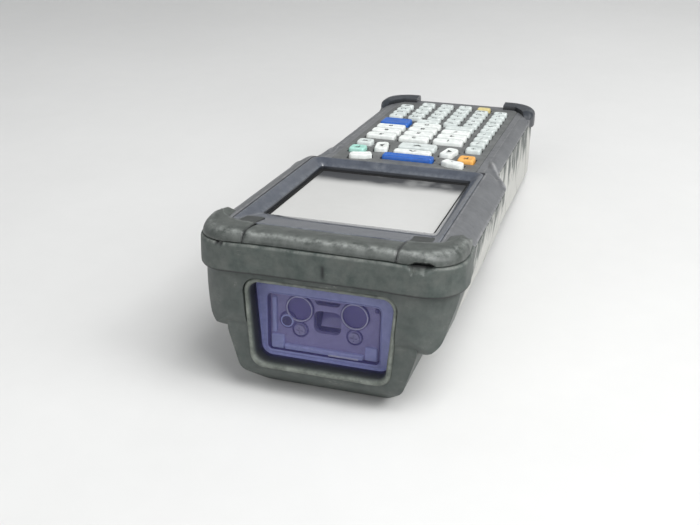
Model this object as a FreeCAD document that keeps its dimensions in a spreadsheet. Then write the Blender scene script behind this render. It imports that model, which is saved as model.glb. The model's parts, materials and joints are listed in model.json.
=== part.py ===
import FreeCAD, Part
import math
import os

# Rugged handheld barcode terminal, lying on its back.
# It is drawn in its own deck frame: X across, Y from the scanner nose to the keypad end,
# Z out of the deck, zero on the keypad deck. The last step tips it onto the floor.

V = FreeCAD.Vector
doc = FreeCAD.newDocument("Terminal")
sheet = doc.addObject("Spreadsheet::Sheet", "Dims")

DIMENSIONS = {
    # casing outline
    "display_half": 41.5, "grip_half": 35.6, "casing_front": -1.0, "casing_rear": 215.0,
    "front_corner": 15.0, "rear_corner": 12.0, "waist_start": 86.0, "waist_end": 107.0,
    "waist_round": 22.0, "seam_level": -2.5, "seal_thick": 0.7, "seal_inset": 0.5,
    "seal_wide": 2.2, "wall": 2.2,
    # deck
    "display_deck_half": 33.6, "display_deck_level": 2.4, "display_deck_end": 90.0,
    "keypad_deck_half": 31.0, "deck_end": 211.5, "deck_plate": 2.0,
    # underside
    "grip_depth": 31.5, "nose_depth": 50.6, "nose_foot_start": 9.0, "nose_foot_end": 42.0,
    "heel_depth": 32.0, "heel_place": 206.0, "heel_start": 198.0, "heel_end": 209.0,
    "heel_half": 23.0, "chin_round": 9.0, "tail_round": 6.0,
    "nose_half": 31.0, "nose_low_half": 19.5, "nose_face": 0.5, "nose_back": 76.0,
    # head trim
    "head_half": 43.4, "head_front": -3.0, "head_end": 23.0, "cap_level": 3.7, "cap_back": 9.8,
    "band_top": 0.2, "band_top_side": -1.1, "band_low": -9.4, "band_low_side": -10.8,
    "patch_back": 17.5,
    "cap_inset": 0.7, "cap_round": 3.4, "cap_split": 23.6, "trim_gap": 0.15,
    # window and scan engine
    "rim_front": -0.6, "rim_back": 4.4, "rim_top": -11.2, "rim_low": -41.7,
    "rim_top_half": 24.8, "rim_low_half": 22.6, "rim_wide": 2.9, "rim_lip": 1.2,
    "glass_thick": 1.5, "engine_face": 8.0, "engine_plate_thick": 1.6, "engine_half": 16.4,
    "engine_top": -17.8, "engine_low": -36.4, "engine_deep": 22.0,
    "lens_apart": 9.0, "lens_level": -23.2, "lens_radius": 4.0, "lens_ring": 0.5,
    "mirror_level": -27.0, "mirror_wide": 9.0, "mirror_tall": 7.6,
    "screw_apart": 8.9, "screw_level": -30.4, "screw_radius": 1.7,
    # display
    "bezel_half": 33.3, "bezel_near": 10.0, "bezel_far": 89.6, "bezel_round": 3.5,
    "screen_half": 28.6, "screen_near": 26.4, "screen_far": 85.4, "bezel_low": -1.4,
    "glass_level": -1.5, "touch_thick": 1.1, "module_thick": 3.6, "gasket_wide": 1.2,
    # keypad
    "panel_half": 28.6, "panel_near": 95.6, "panel_far": 205.4, "panel_round": 3.0,
    "panel_level": 0.1, "panel_thick": 1.9, "column_pitch": 8.9, "letter_pitch": 6.9,
    "letter_first": 171.3, "number_first": 133.6, "number_pitch": 7.95,
    "key_small": 6.6, "key_small_long": 4.7, "key_wide": 12.8, "key_number_long": 5.6,
    "wide_left": -19.0, "wide_middle": -4.6, "wide_right": 9.9, "key_rise": 1.7,
    "key_round": 1.1, "key_gap": 0.3, "key_flange": 0.7, "key_flange_thick": 0.8,
    "key_travel": 0.8, "spot_radius": 1.1, "spot_across": 17.9, "spot_place": 196.4,
    "mat_thick": 1.2, "board_thick": 1.6, "board_half": 29.0,
    # battery and rear end
    "battery_half": 25.0, "battery_near": 110.0, "battery_far": 194.0, "battery_top": -15.0,
    "battery_gap": 0.4, "latch_half": 8.0, "latch_near": 99.5, "latch_far": 108.8,
    "latch_thick": 2.4, "latch_travel": 2.8, "bumper_out": 1.3, "bumper_in": 3.6,
    "bumper_turn": 29.6, "bumper_round": 1.5, "bumper_inner_end": 21.0, "bumper_level": 2.4,
    "bumper_low": -15.0, "bumper_tip": 190.0,
    "dock_half": 13.0, "dock_top": -10.0, "dock_low": -18.5, "dock_deep": 6.0,
}
for row, (alias, value) in enumerate(DIMENSIONS.items(), start=1):
    sheet.set(f"A{row}", alias)
    sheet.set(f"B{row}", str(value))
    sheet.setAlias(f"B{row}", alias)
doc.recompute()


def dim(alias):
    """The value of one cell of the sheet, in millimetres."""
    return float(getattr(sheet, alias))


nodes = []
TURN_FRONT = FreeCAD.Rotation(V(1, 0, 0), V(0, 0, 1), V(0, -1, 0), "XYZ")
TURN_SIDE = FreeCAD.Rotation(V(0, 1, 0), V(0, 0, 1), V(1, 0, 0), "XYZ")


# Outlines

def rounded(corners):
    """Lines joined by tangent arcs round a closed list of corners (u, v, radius)."""
    count = len(corners)
    starts, ends, arcs = [], [], []
    for index, (u, v, radius) in enumerate(corners):
        here = V(u, v, 0)
        before = V(*corners[index - 1][:2], 0) - here
        after = V(*corners[(index + 1) % count][:2], 0) - here
        before.normalize()
        after.normalize()
        if radius <= 0:
            starts.append(here)
            ends.append(here)
            arcs.append(None)
            continue
        half = before.getAngle(after) / 2
        reach = radius / math.tan(half)
        middle = before + after
        middle.normalize()
        centre = here + middle * (radius / math.sin(half))
        starts.append(here + before * reach)
        ends.append(here + after * reach)
        arcs.append(centre - middle * radius)
    pieces = []
    for index in range(count):
        if arcs[index] is not None:
            pieces.append(Part.Arc(starts[index], arcs[index], ends[index]))
        follower = starts[(index + 1) % count]
        if ends[index].distanceToPoint(follower) > 1e-6:
            pieces.append(Part.LineSegment(ends[index], follower))
    return pieces


def mirrored(half):
    """A closed outline, symmetric about X = 0, from the corners of its right half."""
    return list(half) + [(-u, v, radius) for u, v, radius in reversed(half)]


def rectangle(u0, u1, v0, v1, radius=0.0):
    """The corners of a rectangle, with one radius."""
    return [(u0, v0, radius), (u1, v0, radius), (u1, v1, radius), (u0, v1, radius)]


def casing_outline(inset=0.0):
    """The casing seen from above: wide display part, S-shaped waist, narrow keypad part."""
    wide, slim = dim("display_half") - inset, dim("grip_half") - inset
    front, rear = dim("casing_front") + inset, dim("casing_rear") - inset
    return mirrored([
        (wide, front, dim("front_corner") - inset),
        (wide, dim("waist_start"), dim("waist_round")),
        (slim, dim("waist_end"), dim("waist_round")),
        (slim, rear, dim("rear_corner") - inset),
    ])


# Document objects

def sketch(name, outlines, turn=None, offset=0.0):
    """A sketch of closed outlines on the deck plane, the front plane or the side plane."""
    made = doc.addObject("Sketcher::SketchObject", name)
    for corners in outlines:
        made.addGeometry(rounded(corners), False)
    if turn is TURN_FRONT:
        made.Placement = FreeCAD.Placement(V(0, offset, 0), TURN_FRONT)
    elif turn is TURN_SIDE:
        made.Placement = FreeCAD.Placement(V(offset, 0, 0), TURN_SIDE)
    else:
        made.Placement = FreeCAD.Placement(V(0, 0, offset), FreeCAD.Rotation())
    return made


def extrusion(name, base, length, taper=None):
    """A solid extrusion of a sketch along its normal; length is an expression on the sheet."""
    made = doc.addObject("Part::Extrusion", name)
    made.Base = base
    made.DirMode = "Normal"
    made.Solid = True
    made.setExpression("LengthFwd", length)
    if taper:
        made.setExpression("TaperAngle", taper)
    return made


def plan_solid(name, outlines, low, height, taper=None):
    """Outlines on the deck plane raised from a level; height is an expression."""
    return extrusion(name, sketch(name + "_plan", outlines, None, low), height, taper)


def front_solid(name, outlines, front, depth):
    """Outlines seen from the nose, carried along +Y from a place; depth is an expression."""
    base = sketch(name + "_front", outlines, TURN_FRONT, front)
    made = extrusion(name, base, depth)
    made.Reversed = True
    return made


def side_solid(name, outlines, half_width="50"):
    """Outlines seen from the side, carried both ways across the casing."""
    base = sketch(name + "_side", outlines, TURN_SIDE, 0.0)
    made = extrusion(name, base, f"2 * {half_width}")
    made.Symmetric = True
    return made


def box(name, spans):
    """A box from its (low, high) spans along X, Y and Z."""
    made = doc.addObject("Part::Box", name)
    for side, (low, high) in zip(("Length", "Width", "Height"), spans):
        made.setExpression(side, f"{high - low:.6f}")
    made.Placement.Base = V(*(low for low, high in spans))
    return made


def cylinder(name, radius, height, centre, turn=None):
    """A cylinder with its radius and height as expressions, along Z or along +Y."""
    made = doc.addObject("Part::Cylinder", name)
    made.setExpression("Radius", radius)
    made.setExpression("Height", height)
    made.Placement = FreeCAD.Placement(V(*centre), turn or FreeCAD.Rotation())
    return made


ALONG_Y = FreeCAD.Rotation(V(1, 0, 0), -90)


def common(name, *shapes):
    """The space that all the shapes share."""
    made = doc.addObject("Part::MultiCommon", name)
    made.Shapes = list(shapes)
    return made


def fuse(name, *shapes):
    """The shapes joined, or kept side by side where they don't meet."""
    made = doc.addObject("Part::MultiFuse", name)
    made.Shapes = list(shapes)
    return made


def cut(name, base, *tools):
    """The base less every tool."""
    tool = tools[0] if len(tools) == 1 else fuse(name + "_tools", *tools)
    made = doc.addObject("Part::Cut", name)
    made.Base = base
    made.Tool = tool
    return made


def again(name, source):
    """A second use of a finished solid, for cutting a neighbour to fit it."""
    made = doc.addObject("Part::Feature", name)
    doc.recompute()
    made.Shape = source.Shape
    return made


def node(label, shape):
    """Names a finished piece of the terminal."""
    shape.Label = label
    nodes.append(shape)
    return shape


# Level of the floor under the casing, in the deck frame

FLOOR_SLOPE = (dim("nose_depth") - dim("heel_depth")) / (dim("heel_place") - dim("nose_foot_start"))


def floor_level(place):
    """Height of the floor line below a place along the casing."""
    return -dim("nose_depth") + (place - dim("nose_foot_start")) * FLOOR_SLOPE


# Head trim: a rubber band round the nose, and above it a roll between two corner bumpers

HEAD_DEPTH = "Dims.head_end - Dims.head_front + 2"
head_half, head_front, head_end = dim("head_half"), dim("head_front"), dim("head_end")
split, trim_gap = dim("cap_split"), dim("trim_gap")


def head_outline(inset):
    """The head seen from above, bowed at the front and drawn in where it meets the sides."""
    wide, front = head_half - inset, head_front + inset
    return mirrored([
        (dim("nose_half") - 8, front, 60),
        (wide - 1.2, front + 1.6, dim("front_corner") - inset),
        (wide, head_end - 8, 6),
        (dim("display_half") + 0.4 - inset, head_end, 0),
    ])


def seam_band(upper):
    """Front view of the region above the upper seam, or between the two seams."""
    wide = head_half + 2
    top = [(split, dim("band_top"), 60), (wide, dim("band_top_side"), 0)]
    if upper:
        return mirrored(top + [(wide, 12, 0)])
    return mirrored(top + [(wide, dim("band_low_side"), 0), (split, dim("band_low"), 60)])


band_blank = plan_solid("band_blank", [head_outline(0)], -22, "22 + Dims.cap_level")
band_zone = front_solid("band_zone", [seam_band(False)], head_front - 1, HEAD_DEPTH)
band_core = plan_solid("band_core", [casing_outline(0)], -24, "30")
front_band = node("front_band", cut("band_solid", common("band_ring", band_blank, band_zone), band_core))

cap_blank = plan_solid("cap_blank", [head_outline(dim("cap_inset"))], -8, "8 + Dims.cap_level")
doc.recompute()


def edges_at_level(shape, level):
    """Numbers of the edges of a shape that lie in one horizontal plane."""
    return [number for number, edge in enumerate(shape.Edges, start=1)
            if all(abs(point.z - level) < 1e-4 for point in edge.discretize(5))]


cap_rounded = doc.addObject("Part::Fillet", "cap_rounded")
cap_rounded.Base = cap_blank
cap_rounded.Edges = [(number, dim("cap_round"), dim("cap_round"))
                     for number in edges_at_level(cap_blank.Shape, dim("cap_level"))]
cap_zone = front_solid("cap_zone", [seam_band(True)], head_front - 1, HEAD_DEPTH)
cap_room = plan_solid("cap_room", [mirrored([
    (split + 1, dim("cap_back"), 0.8), (split + 1.4, dim("patch_back"), 1.5),
    (dim("bezel_half") + 0.8, dim("patch_back") + 1.5, 3),
    (dim("display_half") + 1, head_end - 1, 0), (dim("display_half") + 1, head_end + 30, 0),
])], -24, "40")
cap_under = box("cap_under", ((-60, 60), (dim("casing_front") + 3.2, 60), (-30, dim("seam_level"))))
cap_solid = cut("cap_solid", common("cap_trimmed", cap_rounded, cap_zone), cap_room, cap_under)
doc.recompute()


def cap_piece(label, low, high):
    """One of the three lengths that the head's upper trim is moulded in."""
    slab = box(label + "_span", ((low, high), (-10, 60), (-30, 20)))
    return node(label, common(label + "_solid", again(label + "_blank", cap_solid), slab))


front_bumper_left = cap_piece("front_bumper_left", -60, -split - trim_gap)
nose_roll = cap_piece("nose_roll", -split, split)
front_bumper_right = cap_piece("front_bumper_right", split + trim_gap, 60)

# Rear bumpers: two low rubber caps over the keypad end's corners

bumper_out, bumper_in = dim("bumper_out"), dim("bumper_in")
bumper_plan = casing_outline(-bumper_out)
bumper_slab = plan_solid("bumper_slab", [bumper_plan], dim("bumper_low"),
                         "Dims.bumper_level - Dims.bumper_low")
deck_side = plan_solid("deck_side", [mirrored([
    (dim("grip_half") + 0.4, 90, 0), (dim("grip_half") + 0.4, dim("bumper_tip") - 1.5, 0),
    (dim("grip_half") - 2.4, dim("bumper_tip") + 2.5, 8), (dim("bumper_turn"), dim("casing_rear") - 8.9, 3),
    (dim("bumper_inner_end"), dim("casing_rear") - 8.5, 2), (dim("bumper_inner_end"), 240, 0),
])], -2.3, "20")
doc.recompute()
bumper_rounded = doc.addObject("Part::Fillet", "bumper_rounded")
bumper_rounded.Base = bumper_slab
bumper_rounded.Edges = [(number, dim("bumper_round"), dim("bumper_round"))
                        for number in edges_at_level(bumper_slab.Shape, dim("bumper_level"))]
bumper_core = plan_solid("bumper_core", [casing_outline(bumper_in)], -60, "59.4")
tip, rear = dim("bumper_tip"), dim("casing_rear")
bumper_side = side_solid("bumper_side", [[
    (tip, dim("seam_level") - 1.5, 0), (tip, dim("seam_level") + 0.6, 0),
    (rear - 11, dim("bumper_level") - 0.6, 8), (rear - 6, dim("bumper_level") + 0.5, 0),
    (rear + 5, dim("bumper_level") + 0.5, 0), (rear + 5, dim("bumper_low") - 1, 0),
    (rear - 7, dim("bumper_low") - 1, 6), (tip + 9, dim("seam_level") - 5, 6),
]])
bumper_ring = cut(
    "bumper_ring", common("bumper_shaped", bumper_rounded, bumper_side), bumper_core, deck_side)
doc.recompute()
rear_bumpers = []
for label, low, high in (("rear_bumper_left", -60, -dim("bumper_inner_end")),
                         ("rear_bumper_right", dim("bumper_inner_end"), 60)):
    slab = box(label + "_span", ((low, high), (100, 240), (-30, 20)))
    ring = again(label + "_blank", bumper_ring)
    rear_bumpers.append(node(label, common(label + "_solid", ring, slab)))
doc.recompute()

# Front housing: cheeks slope from the seam up to the display deck and the keypad deck


def sloped_block(name, low_outline, low, high_outline, high):
    """A block whose sides slope from one outline up to another with as many corners."""
    made = doc.addObject("Part::Loft", name)
    made.Sections = [sketch(name + "_low", [low_outline], None, low),
                     sketch(name + "_high", [high_outline], None, high)]
    made.Solid = True
    made.Ruled = True
    return made


seam = dim("seam_level")
display_block = sloped_block("display_block", mirrored([
    (dim("display_half"), dim("casing_front") + 0.6, 12), (dim("display_half"), dim("waist_start"), 20),
    (dim("grip_half") - 1.5, dim("waist_end") - 1, 6),
]), seam, mirrored([
    (dim("display_deck_half"), dim("casing_front") + 6, 4),
    (dim("display_deck_half"), dim("display_deck_end") - 2, 3),
    (dim("display_deck_half") - 5.5, dim("display_deck_end") + 2.4, 6),
]), dim("display_deck_level"))
keypad_block = sloped_block("keypad_block", mirrored([
    (dim("grip_half"), 84, 0), (dim("grip_half"), rear, dim("rear_corner")),
]), seam, mirrored([
    (dim("keypad_deck_half"), 84, 0), (dim("keypad_deck_half"), dim("deck_end"), 8),
]), 0.0)
deck_skirt = box("deck_skirt", ((-60, 60), (-20, 240), (-30, seam)))
inner_near, inner_far = dim("patch_back") + 0.8, rear - dim("wall") - 4
deck_room = plan_solid("deck_room", [mirrored([
    (dim("panel_half") + 1.2, inner_near, 2), (dim("panel_half") + 1.2, inner_far, 6),
])], seam - 1, "1 - Dims.seam_level - Dims.deck_plate")
display_opening = plan_solid("display_opening", [rectangle(
    -dim("bezel_half"), dim("bezel_half"), dim("bezel_near") - 4, dim("bezel_far"),
    dim("bezel_round"))], -8, "20")
panel_opening = plan_solid("panel_opening", [rectangle(
    -dim("panel_half"), dim("panel_half"), dim("panel_near"), dim("panel_far"),
    dim("panel_round"))], -8, "20")
trim_tools = [again("deck_for_" + piece.Label, piece)
              for piece in (front_band, front_bumper_left, nose_roll, front_bumper_right, *rear_bumpers)]
front_gaps = box("front_gaps", ((-split - 1, split + 1), (-10, dim("cap_back")), (seam + 0.2, 20)))
front_housing = node("front_housing", cut(
    "front_housing_solid", fuse("deck_form", display_block, keypad_block),
    deck_room, display_opening, panel_opening, front_gaps, *trim_tools))

# Seal between the two housings

seal_low = seam - dim("seal_thick")
seal_inset = dim("seal_inset")
seal_blank = plan_solid("seal_blank", [casing_outline(seal_inset)], seal_low, "Dims.seal_thick")
seal_room = plan_solid("seal_room", [casing_outline(seal_inset + dim("seal_wide"))], -8, "16")
seal_tools = [again("seal_for_" + piece.Label, piece)
              for piece in (front_band, front_bumper_left, nose_roll, front_bumper_right, *rear_bumpers)]
housing_seal = node("housing_seal", cut("seal_solid", seal_blank, seal_room, *seal_tools))

# Window rim, glass and scan engine in the nose


def window_outline(inset):
    """The window's rounded trapezoid, wider at the top, drawn in by an inset."""
    return mirrored([
        (dim("rim_low_half") - inset, dim("rim_low") + inset * 1.15, max(4.6 - inset * 0.6, 1.2)),
        (dim("rim_top_half") - inset, dim("rim_top") - inset, max(4.6 - inset * 0.6, 1.2)),
    ])


rim_wide, rim_lip = dim("rim_wide"), dim("rim_lip")
rim_blank = front_solid("rim_blank", [window_outline(0)], dim("rim_front"),
                        "Dims.rim_back + Dims.glass_thick - Dims.rim_front")
rim_bore = front_solid("rim_bore", [window_outline(rim_wide)], dim("rim_front") - 1, "30")
rim_seat = front_solid("rim_seat", [window_outline(rim_wide - rim_lip)], dim("rim_back"), "20")
window_rim = node("window_rim", cut("window_rim_solid", rim_blank, rim_bore, rim_seat))
scan_window = node("scan_window", front_solid(
    "scan_window_solid", [window_outline(rim_wide - rim_lip)], dim("rim_back"), "Dims.glass_thick"))

face, plate = dim("engine_face"), dim("engine_plate_thick")
lens_apart, lens_level, lens_radius = dim("lens_apart"), dim("lens_level"), dim("lens_radius")
mirror_half, mirror_tall = dim("mirror_wide") / 2, dim("mirror_tall") / 2
plate_outline = [
    (-dim("engine_half"), dim("engine_low"), 1), (dim("engine_half"), dim("engine_low"), 1),
    (dim("engine_half"), dim("engine_top"), 1), (5.2, dim("engine_top"), 0.6),
    (3.6, dim("engine_top") - 3.4, 1.2), (-3.6, dim("engine_top") - 3.4, 1.2),
    (-5.2, dim("engine_top"), 0.6), (-dim("engine_half"), dim("engine_top"), 1),
]
plate_blank = front_solid("plate_blank", [plate_outline], face, "Dims.engine_plate_thick")
mirror_port = front_solid("mirror_port", [rectangle(
    -mirror_half, mirror_half, dim("mirror_level") - mirror_tall, dim("mirror_level") + mirror_tall, 2.2)],
    face - 1, "10")
lens_ports = [cylinder(f"lens_port_{side}", "Dims.lens_radius + Dims.lens_ring", "10",
                       (sign * lens_apart, face - 1, lens_level), ALONG_Y)
              for side, sign in (("left", -1), ("right", 1))]
screw_ports = [cylinder(f"screw_port_{side}", "Dims.screw_radius * 0.6", "10",
                        (sign * dim("screw_apart"), face - 1, dim("screw_level")), ALONG_Y)
               for side, sign in (("left", -1), ("right", 1))]
engine_plate = node("scan_engine_plate", cut(
    "engine_plate_solid", plate_blank, mirror_port, *lens_ports, *screw_ports))

engine_back = face + plate
engine_block = box("engine_block", (
    (-dim("engine_half") + 1, dim("engine_half") - 1), (engine_back, engine_back + dim("engine_deep")),
    (dim("engine_low") + 1, dim("engine_top") - 0.5)))
mirror_well = front_solid("mirror_well", [rectangle(
    -mirror_half + 0.4, mirror_half - 0.4, dim("mirror_level") - mirror_tall + 0.4,
    dim("mirror_level") + mirror_tall - 0.4, 1.8)], engine_back - 1, "8")
screw_wells = [cylinder(f"screw_well_{side}", "Dims.screw_radius * 0.6", "6",
                        (sign * dim("screw_apart"), engine_back - 1, dim("screw_level")), ALONG_Y)
               for side, sign in (("left", -1), ("right", 1))]
engine_body = node("scan_engine_body", cut("engine_body_solid", engine_block, mirror_well, *screw_wells))

lens_solids = []
for side, sign in (("left", -1), ("right", 1)):
    barrel = cylinder(f"barrel_{side}", "Dims.lens_radius + Dims.lens_ring", "Dims.engine_plate_thick + 0.6",
                      (sign * lens_apart, face - 0.6, lens_level), ALONG_Y)
    hollow = cylinder(f"barrel_hollow_{side}", "Dims.lens_radius", "0.8",
                      (sign * lens_apart, face - 0.6, lens_level), ALONG_Y)
    lens_solids.append(cut(f"lens_{side}", barrel, hollow))
node("engine_lenses", fuse("engine_lenses_solid", *lens_solids))
node("engine_mirror", side_solid("engine_mirror_solid", [[
    (engine_back + 2.0, dim("mirror_level") - mirror_tall + 0.8, 0),
    (engine_back + 2.9, dim("mirror_level") - mirror_tall + 0.8, 0),
    (engine_back + 6.6, dim("mirror_level") + mirror_tall - 0.9, 0),
    (engine_back + 5.7, dim("mirror_level") + mirror_tall - 0.9, 0),
]], "(Dims.mirror_wide / 2 - 1.2)"))
engine_screw_solids = []
for side, sign in (("left", -1), ("right", 1)):
    head = cylinder(f"engine_screw_head_{side}", "Dims.screw_radius", "0.9",
                    (sign * dim("screw_apart"), face - 0.9, dim("screw_level")), ALONG_Y)
    shank = cylinder(f"engine_screw_shank_{side}", "Dims.screw_radius * 0.6", "6",
                     (sign * dim("screw_apart"), face - 0.1, dim("screw_level")), ALONG_Y)
    slots = [box(f"engine_screw_slot_{side}_{turn}", (
        (sign * dim("screw_apart") - across, sign * dim("screw_apart") + across),
        (face - 1.2, face - 0.5), (dim("screw_level") - up, dim("screw_level") + up)))
        for turn, across, up in (("flat", 1.1, 0.25), ("upright", 0.25, 1.1))]
    engine_screw_solids.append(cut(f"engine_screw_{side}", fuse(
        f"engine_screw_blank_{side}", head, shank), *slots))
node("engine_screws", fuse("engine_screws_solid", *engine_screw_solids))

# Rear housing: slim body with rounded underside, and a deeper scanner nose under its head

grip_level = -dim("grip_depth")


def rear_form(name, inset):
    """The rear housing's solid form, drawn in by an inset: body and scanner nose."""
    top = seal_low if inset == 0 else seal_low + 5
    plan = plan_solid(name + "_body_plan", [casing_outline(inset)], -60, f"{60 + top:.4f}")
    section = front_solid(name + "_body_section", [mirrored([
        (dim("display_half") - inset, top, 0), (dim("display_half") - 1 - inset, -14, 20),
        (dim("display_half") - 4.5 - inset, -26.8 + inset * 0.4, 6),
        (dim("grip_half") - 4.6 - inset * 0.7, grip_level + inset, 7),
    ][::-1])], -10, "240")
    length = side_solid(name + "_body_length", [[
        (dim("casing_front") + inset, top, 0),
        (dim("casing_front") + inset, grip_level + inset, dim("chin_round") - inset),
        (rear - inset, grip_level + inset, dim("tail_round") - inset), (rear - inset, top, 0),
    ]])
    body = common(name + "_body", plan, section, length)
    nose_section = front_solid(name + "_nose_section", [mirrored([
        (dim("nose_low_half") - inset * 0.5, -dim("nose_depth") + inset, 6),
        (26.5 - inset, -43, 7), (30.4 - inset, -30, 10), (dim("nose_half") - inset, -6, 0),
    ])], dim("nose_face") + inset, f"{dim('nose_back') - dim('nose_face') - inset:.4f}")
    nose_length = side_solid(name + "_nose_length", [[
        (dim("nose_face") + inset, -6, 0), (dim("nose_face") + inset, -43.5 + inset, 5),
        (dim("nose_foot_start"), -dim("nose_depth") + inset, 3),
        (dim("nose_foot_end"), floor_level(dim("nose_foot_end")) + inset, 8),
        (dim("nose_back") - 7, grip_level + inset - 1.2, 14),
        (dim("nose_back"), grip_level + inset + 0.5, 0), (dim("nose_back"), -6, 0),
    ]])
    return fuse(name, body, common(name + "_nose", nose_section, nose_length))


heel_plan = plan_solid("heel_plan", [rectangle(
    -dim("heel_half"), dim("heel_half"), dim("heel_start"), dim("heel_end"), 3)], -60, "40")
heel_length = side_solid("heel_length", [[
    (dim("heel_start"), grip_level + 1, 0), (dim("heel_start"), floor_level(dim("heel_start")), 0.6),
    (dim("heel_end"), floor_level(dim("heel_end")), 0), (dim("heel_end"), grip_level + 1, 0),
]])
heel = common("heel", heel_plan, heel_length)
rear_blank = rear_form("rear_blank", 0.0)
rear_room = rear_form("rear_room", dim("wall"))
window_port = front_solid("window_port", [window_outline(0)], -5, "5 + Dims.rim_back + Dims.glass_thick")
battery_gap = dim("battery_gap")
battery_port = box("battery_port", (
    (-dim("battery_half") - battery_gap, dim("battery_half") + battery_gap),
    (dim("battery_near") - battery_gap, dim("battery_far") + battery_gap), (-60, -20)))
latch_port = box("latch_port", (
    (-dim("latch_half") - 0.3, dim("latch_half") + 0.3),
    (dim("latch_near") - dim("latch_travel") - 0.3, dim("battery_near") - battery_gap),
    (-60, -20)))
dock_port = box("dock_port", (
    (-dim("dock_half"), dim("dock_half")), (rear - 10, rear + 10), (dim("dock_low"), dim("dock_top"))))
rear_tools = [again("rear_for_" + piece.Label, piece) for piece in (
    front_band, front_bumper_left, nose_roll, front_bumper_right, *rear_bumpers)]
node("rear_housing", cut(
    "rear_housing_solid", fuse("rear_with_heel", rear_blank, heel), rear_room, window_port,
    battery_port, latch_port, dock_port, *rear_tools))

# Display: bezel, gasket, touch panel and module

bezel_blank = plan_solid("bezel_blank", [rectangle(
    -dim("bezel_half") + 0.15, dim("bezel_half") - 0.15, dim("bezel_near"), dim("bezel_far") - 0.15,
    dim("bezel_round"))], dim("bezel_low"), "Dims.display_deck_level - Dims.bezel_low")
bezel_slope = sloped_block("bezel_slope", rectangle(
    -dim("screen_half"), dim("screen_half"), dim("screen_near"), dim("screen_far"), 1.0), 0.0,
    rectangle(-dim("bezel_half") + 0.9, dim("bezel_half") - 0.9, dim("bezel_near") - 0.6,
              dim("bezel_far") - 1.0, 3.0), dim("display_deck_level") + 0.05)
screen_port = plan_solid("screen_port", [rectangle(
    -dim("screen_half"), dim("screen_half"), dim("screen_near"), dim("screen_far"), 1.0)], -8, "12")
bezel_tools = [again("bezel_for_" + piece.Label, piece)
               for piece in (front_bumper_left, nose_roll, front_bumper_right)]
node("display_bezel", cut("bezel_solid", bezel_blank, bezel_slope, screen_port, *bezel_tools))
touch_level = dim("glass_level")
margin = dim("gasket_wide")
screen_span = ((-dim("screen_half") - 2, dim("screen_half") + 2),
               (dim("screen_near") - 2, dim("screen_far") + 2))
gasket_blank = box("gasket_blank", (*screen_span, (touch_level - 0.05, dim("bezel_low"))))
node("touch_panel", box("touch_panel_solid", (
    *screen_span, (touch_level - 0.05 - dim("touch_thick"), touch_level - 0.05))))
gasket_port = box("gasket_port", (
    (-dim("screen_half") + margin, dim("screen_half") - margin),
    (dim("screen_near") + margin * 0.3, dim("screen_far") - margin), (-8, 8)))
node("display_gasket", cut("gasket_solid", gasket_blank, gasket_port))
module_top = touch_level - 0.05 - dim("touch_thick")
node("display_module", box("display_module_solid", (
    *screen_span, (module_top - dim("module_thick"), module_top))))

# Keypad: panel with a port for each key, the keys, the mat and the board under them

panel_top = dim("panel_level")
panel_low = panel_top - dim("panel_thick")
flange_top = panel_low - 0.1
gap, flange = dim("key_gap"), dim("key_flange")
letter_rows = [dim("letter_first") + dim("letter_pitch") * step for step in range(-1, 5)]
number_rows = [dim("number_first") + dim("number_pitch") * step for step in range(4)]
columns = [dim("column_pitch") * (step - 2.5) for step in range(6)]
small = (dim("key_small"), dim("key_small_long"))
number_size = (dim("key_wide"), dim("key_number_long"))


def block_key(x, y, width, length):
    """The outline of a straight key."""
    return rectangle(x - width / 2, x + width / 2, y - length / 2, y + length / 2, dim("key_round"))


def arrow_key(sign):
    """The outline of the left (-1) or right (+1) arrow key, leaning out at its far end."""
    outline = [(10.2, 112.6, 1.6), (15.8, 111.4, 1.6), (17.4, 121.4, 1.6), (12.2, 123.4, 1.6)]
    return [(sign * u, v, radius) for u, v, radius in outline][::sign]


def soft_key(sign):
    """The outline of the left (-1) or right (+1) bent key beside the scan bar."""
    outline = [(13.4, 102.2, 1.2), (16.2, 99.8, 2.5), (22.6, 98.4, 1.8), (23.2, 103.2, 1.8),
               (17.6, 104.6, 2.5), (15.0, 106.8, 1.2)]
    return [(sign * u, v, radius) for u, v, radius in outline][::sign]


KEYS = {
    "key_soft_left": [soft_key(-1)],
    "key_soft_right": [soft_key(1)],
    "key_scan": [block_key(0, 105.2, 20.6, 5.6)],
    "key_up": [block_key(0, 112.6, 15.6, 4.6)],
    "key_down": [block_key(0, 121.4, 15.6, 7.6)],
    "key_arrow_left": [arrow_key(-1)],
    "key_arrow_right": [arrow_key(1)],
    "key_green": [block_key(columns[0], 111.6, 6.8, 6.8)],
    "key_tab": [block_key(columns[0], 122.2, 6.8, 6.4)],
    "key_orange": [block_key(columns[5], 109.8, 6.8, 7.4)],
    "key_enter": [block_key(dim("wide_left") - 0.2, 160.3, dim("key_wide") + 0.4, 10.4)],
    "key_zero": [block_key(dim("wide_middle") - 1.1, letter_rows[0], dim("key_wide") - 2.4, small[1])],
    "key_point": [block_key(dim("wide_right"), number_rows[3], *number_size)],
    "key_escape": [block_key(columns[5], 124.6, 6.6, 5.8)],
}
for step in range(3):
    KEYS[f"key_left_{step + 1}"] = [block_key(dim("wide_left"), number_rows[step] + 1.2, *number_size)]
for step in range(4):
    KEYS[f"key_middle_{step + 1}"] = [block_key(dim("wide_middle"), number_rows[step], *number_size)]
for step in range(3):
    KEYS[f"key_right_{step + 1}"] = [block_key(dim("wide_right"), number_rows[step], *number_size)]
for step in range(4):
    KEYS[f"key_function_{step + 1}"] = [block_key(columns[5], number_rows[step], small[0], 5.2)]
ROW_SPANS = ((3, 5), (0, 5), (0, 5), (0, 5), (0, 5), (1, 4))
for step, (first, last) in enumerate(ROW_SPANS):
    KEYS[f"letter_row_{step + 1}"] = [
        block_key(columns[index], letter_rows[step], *small) for index in range(first, last + 1)]


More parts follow.
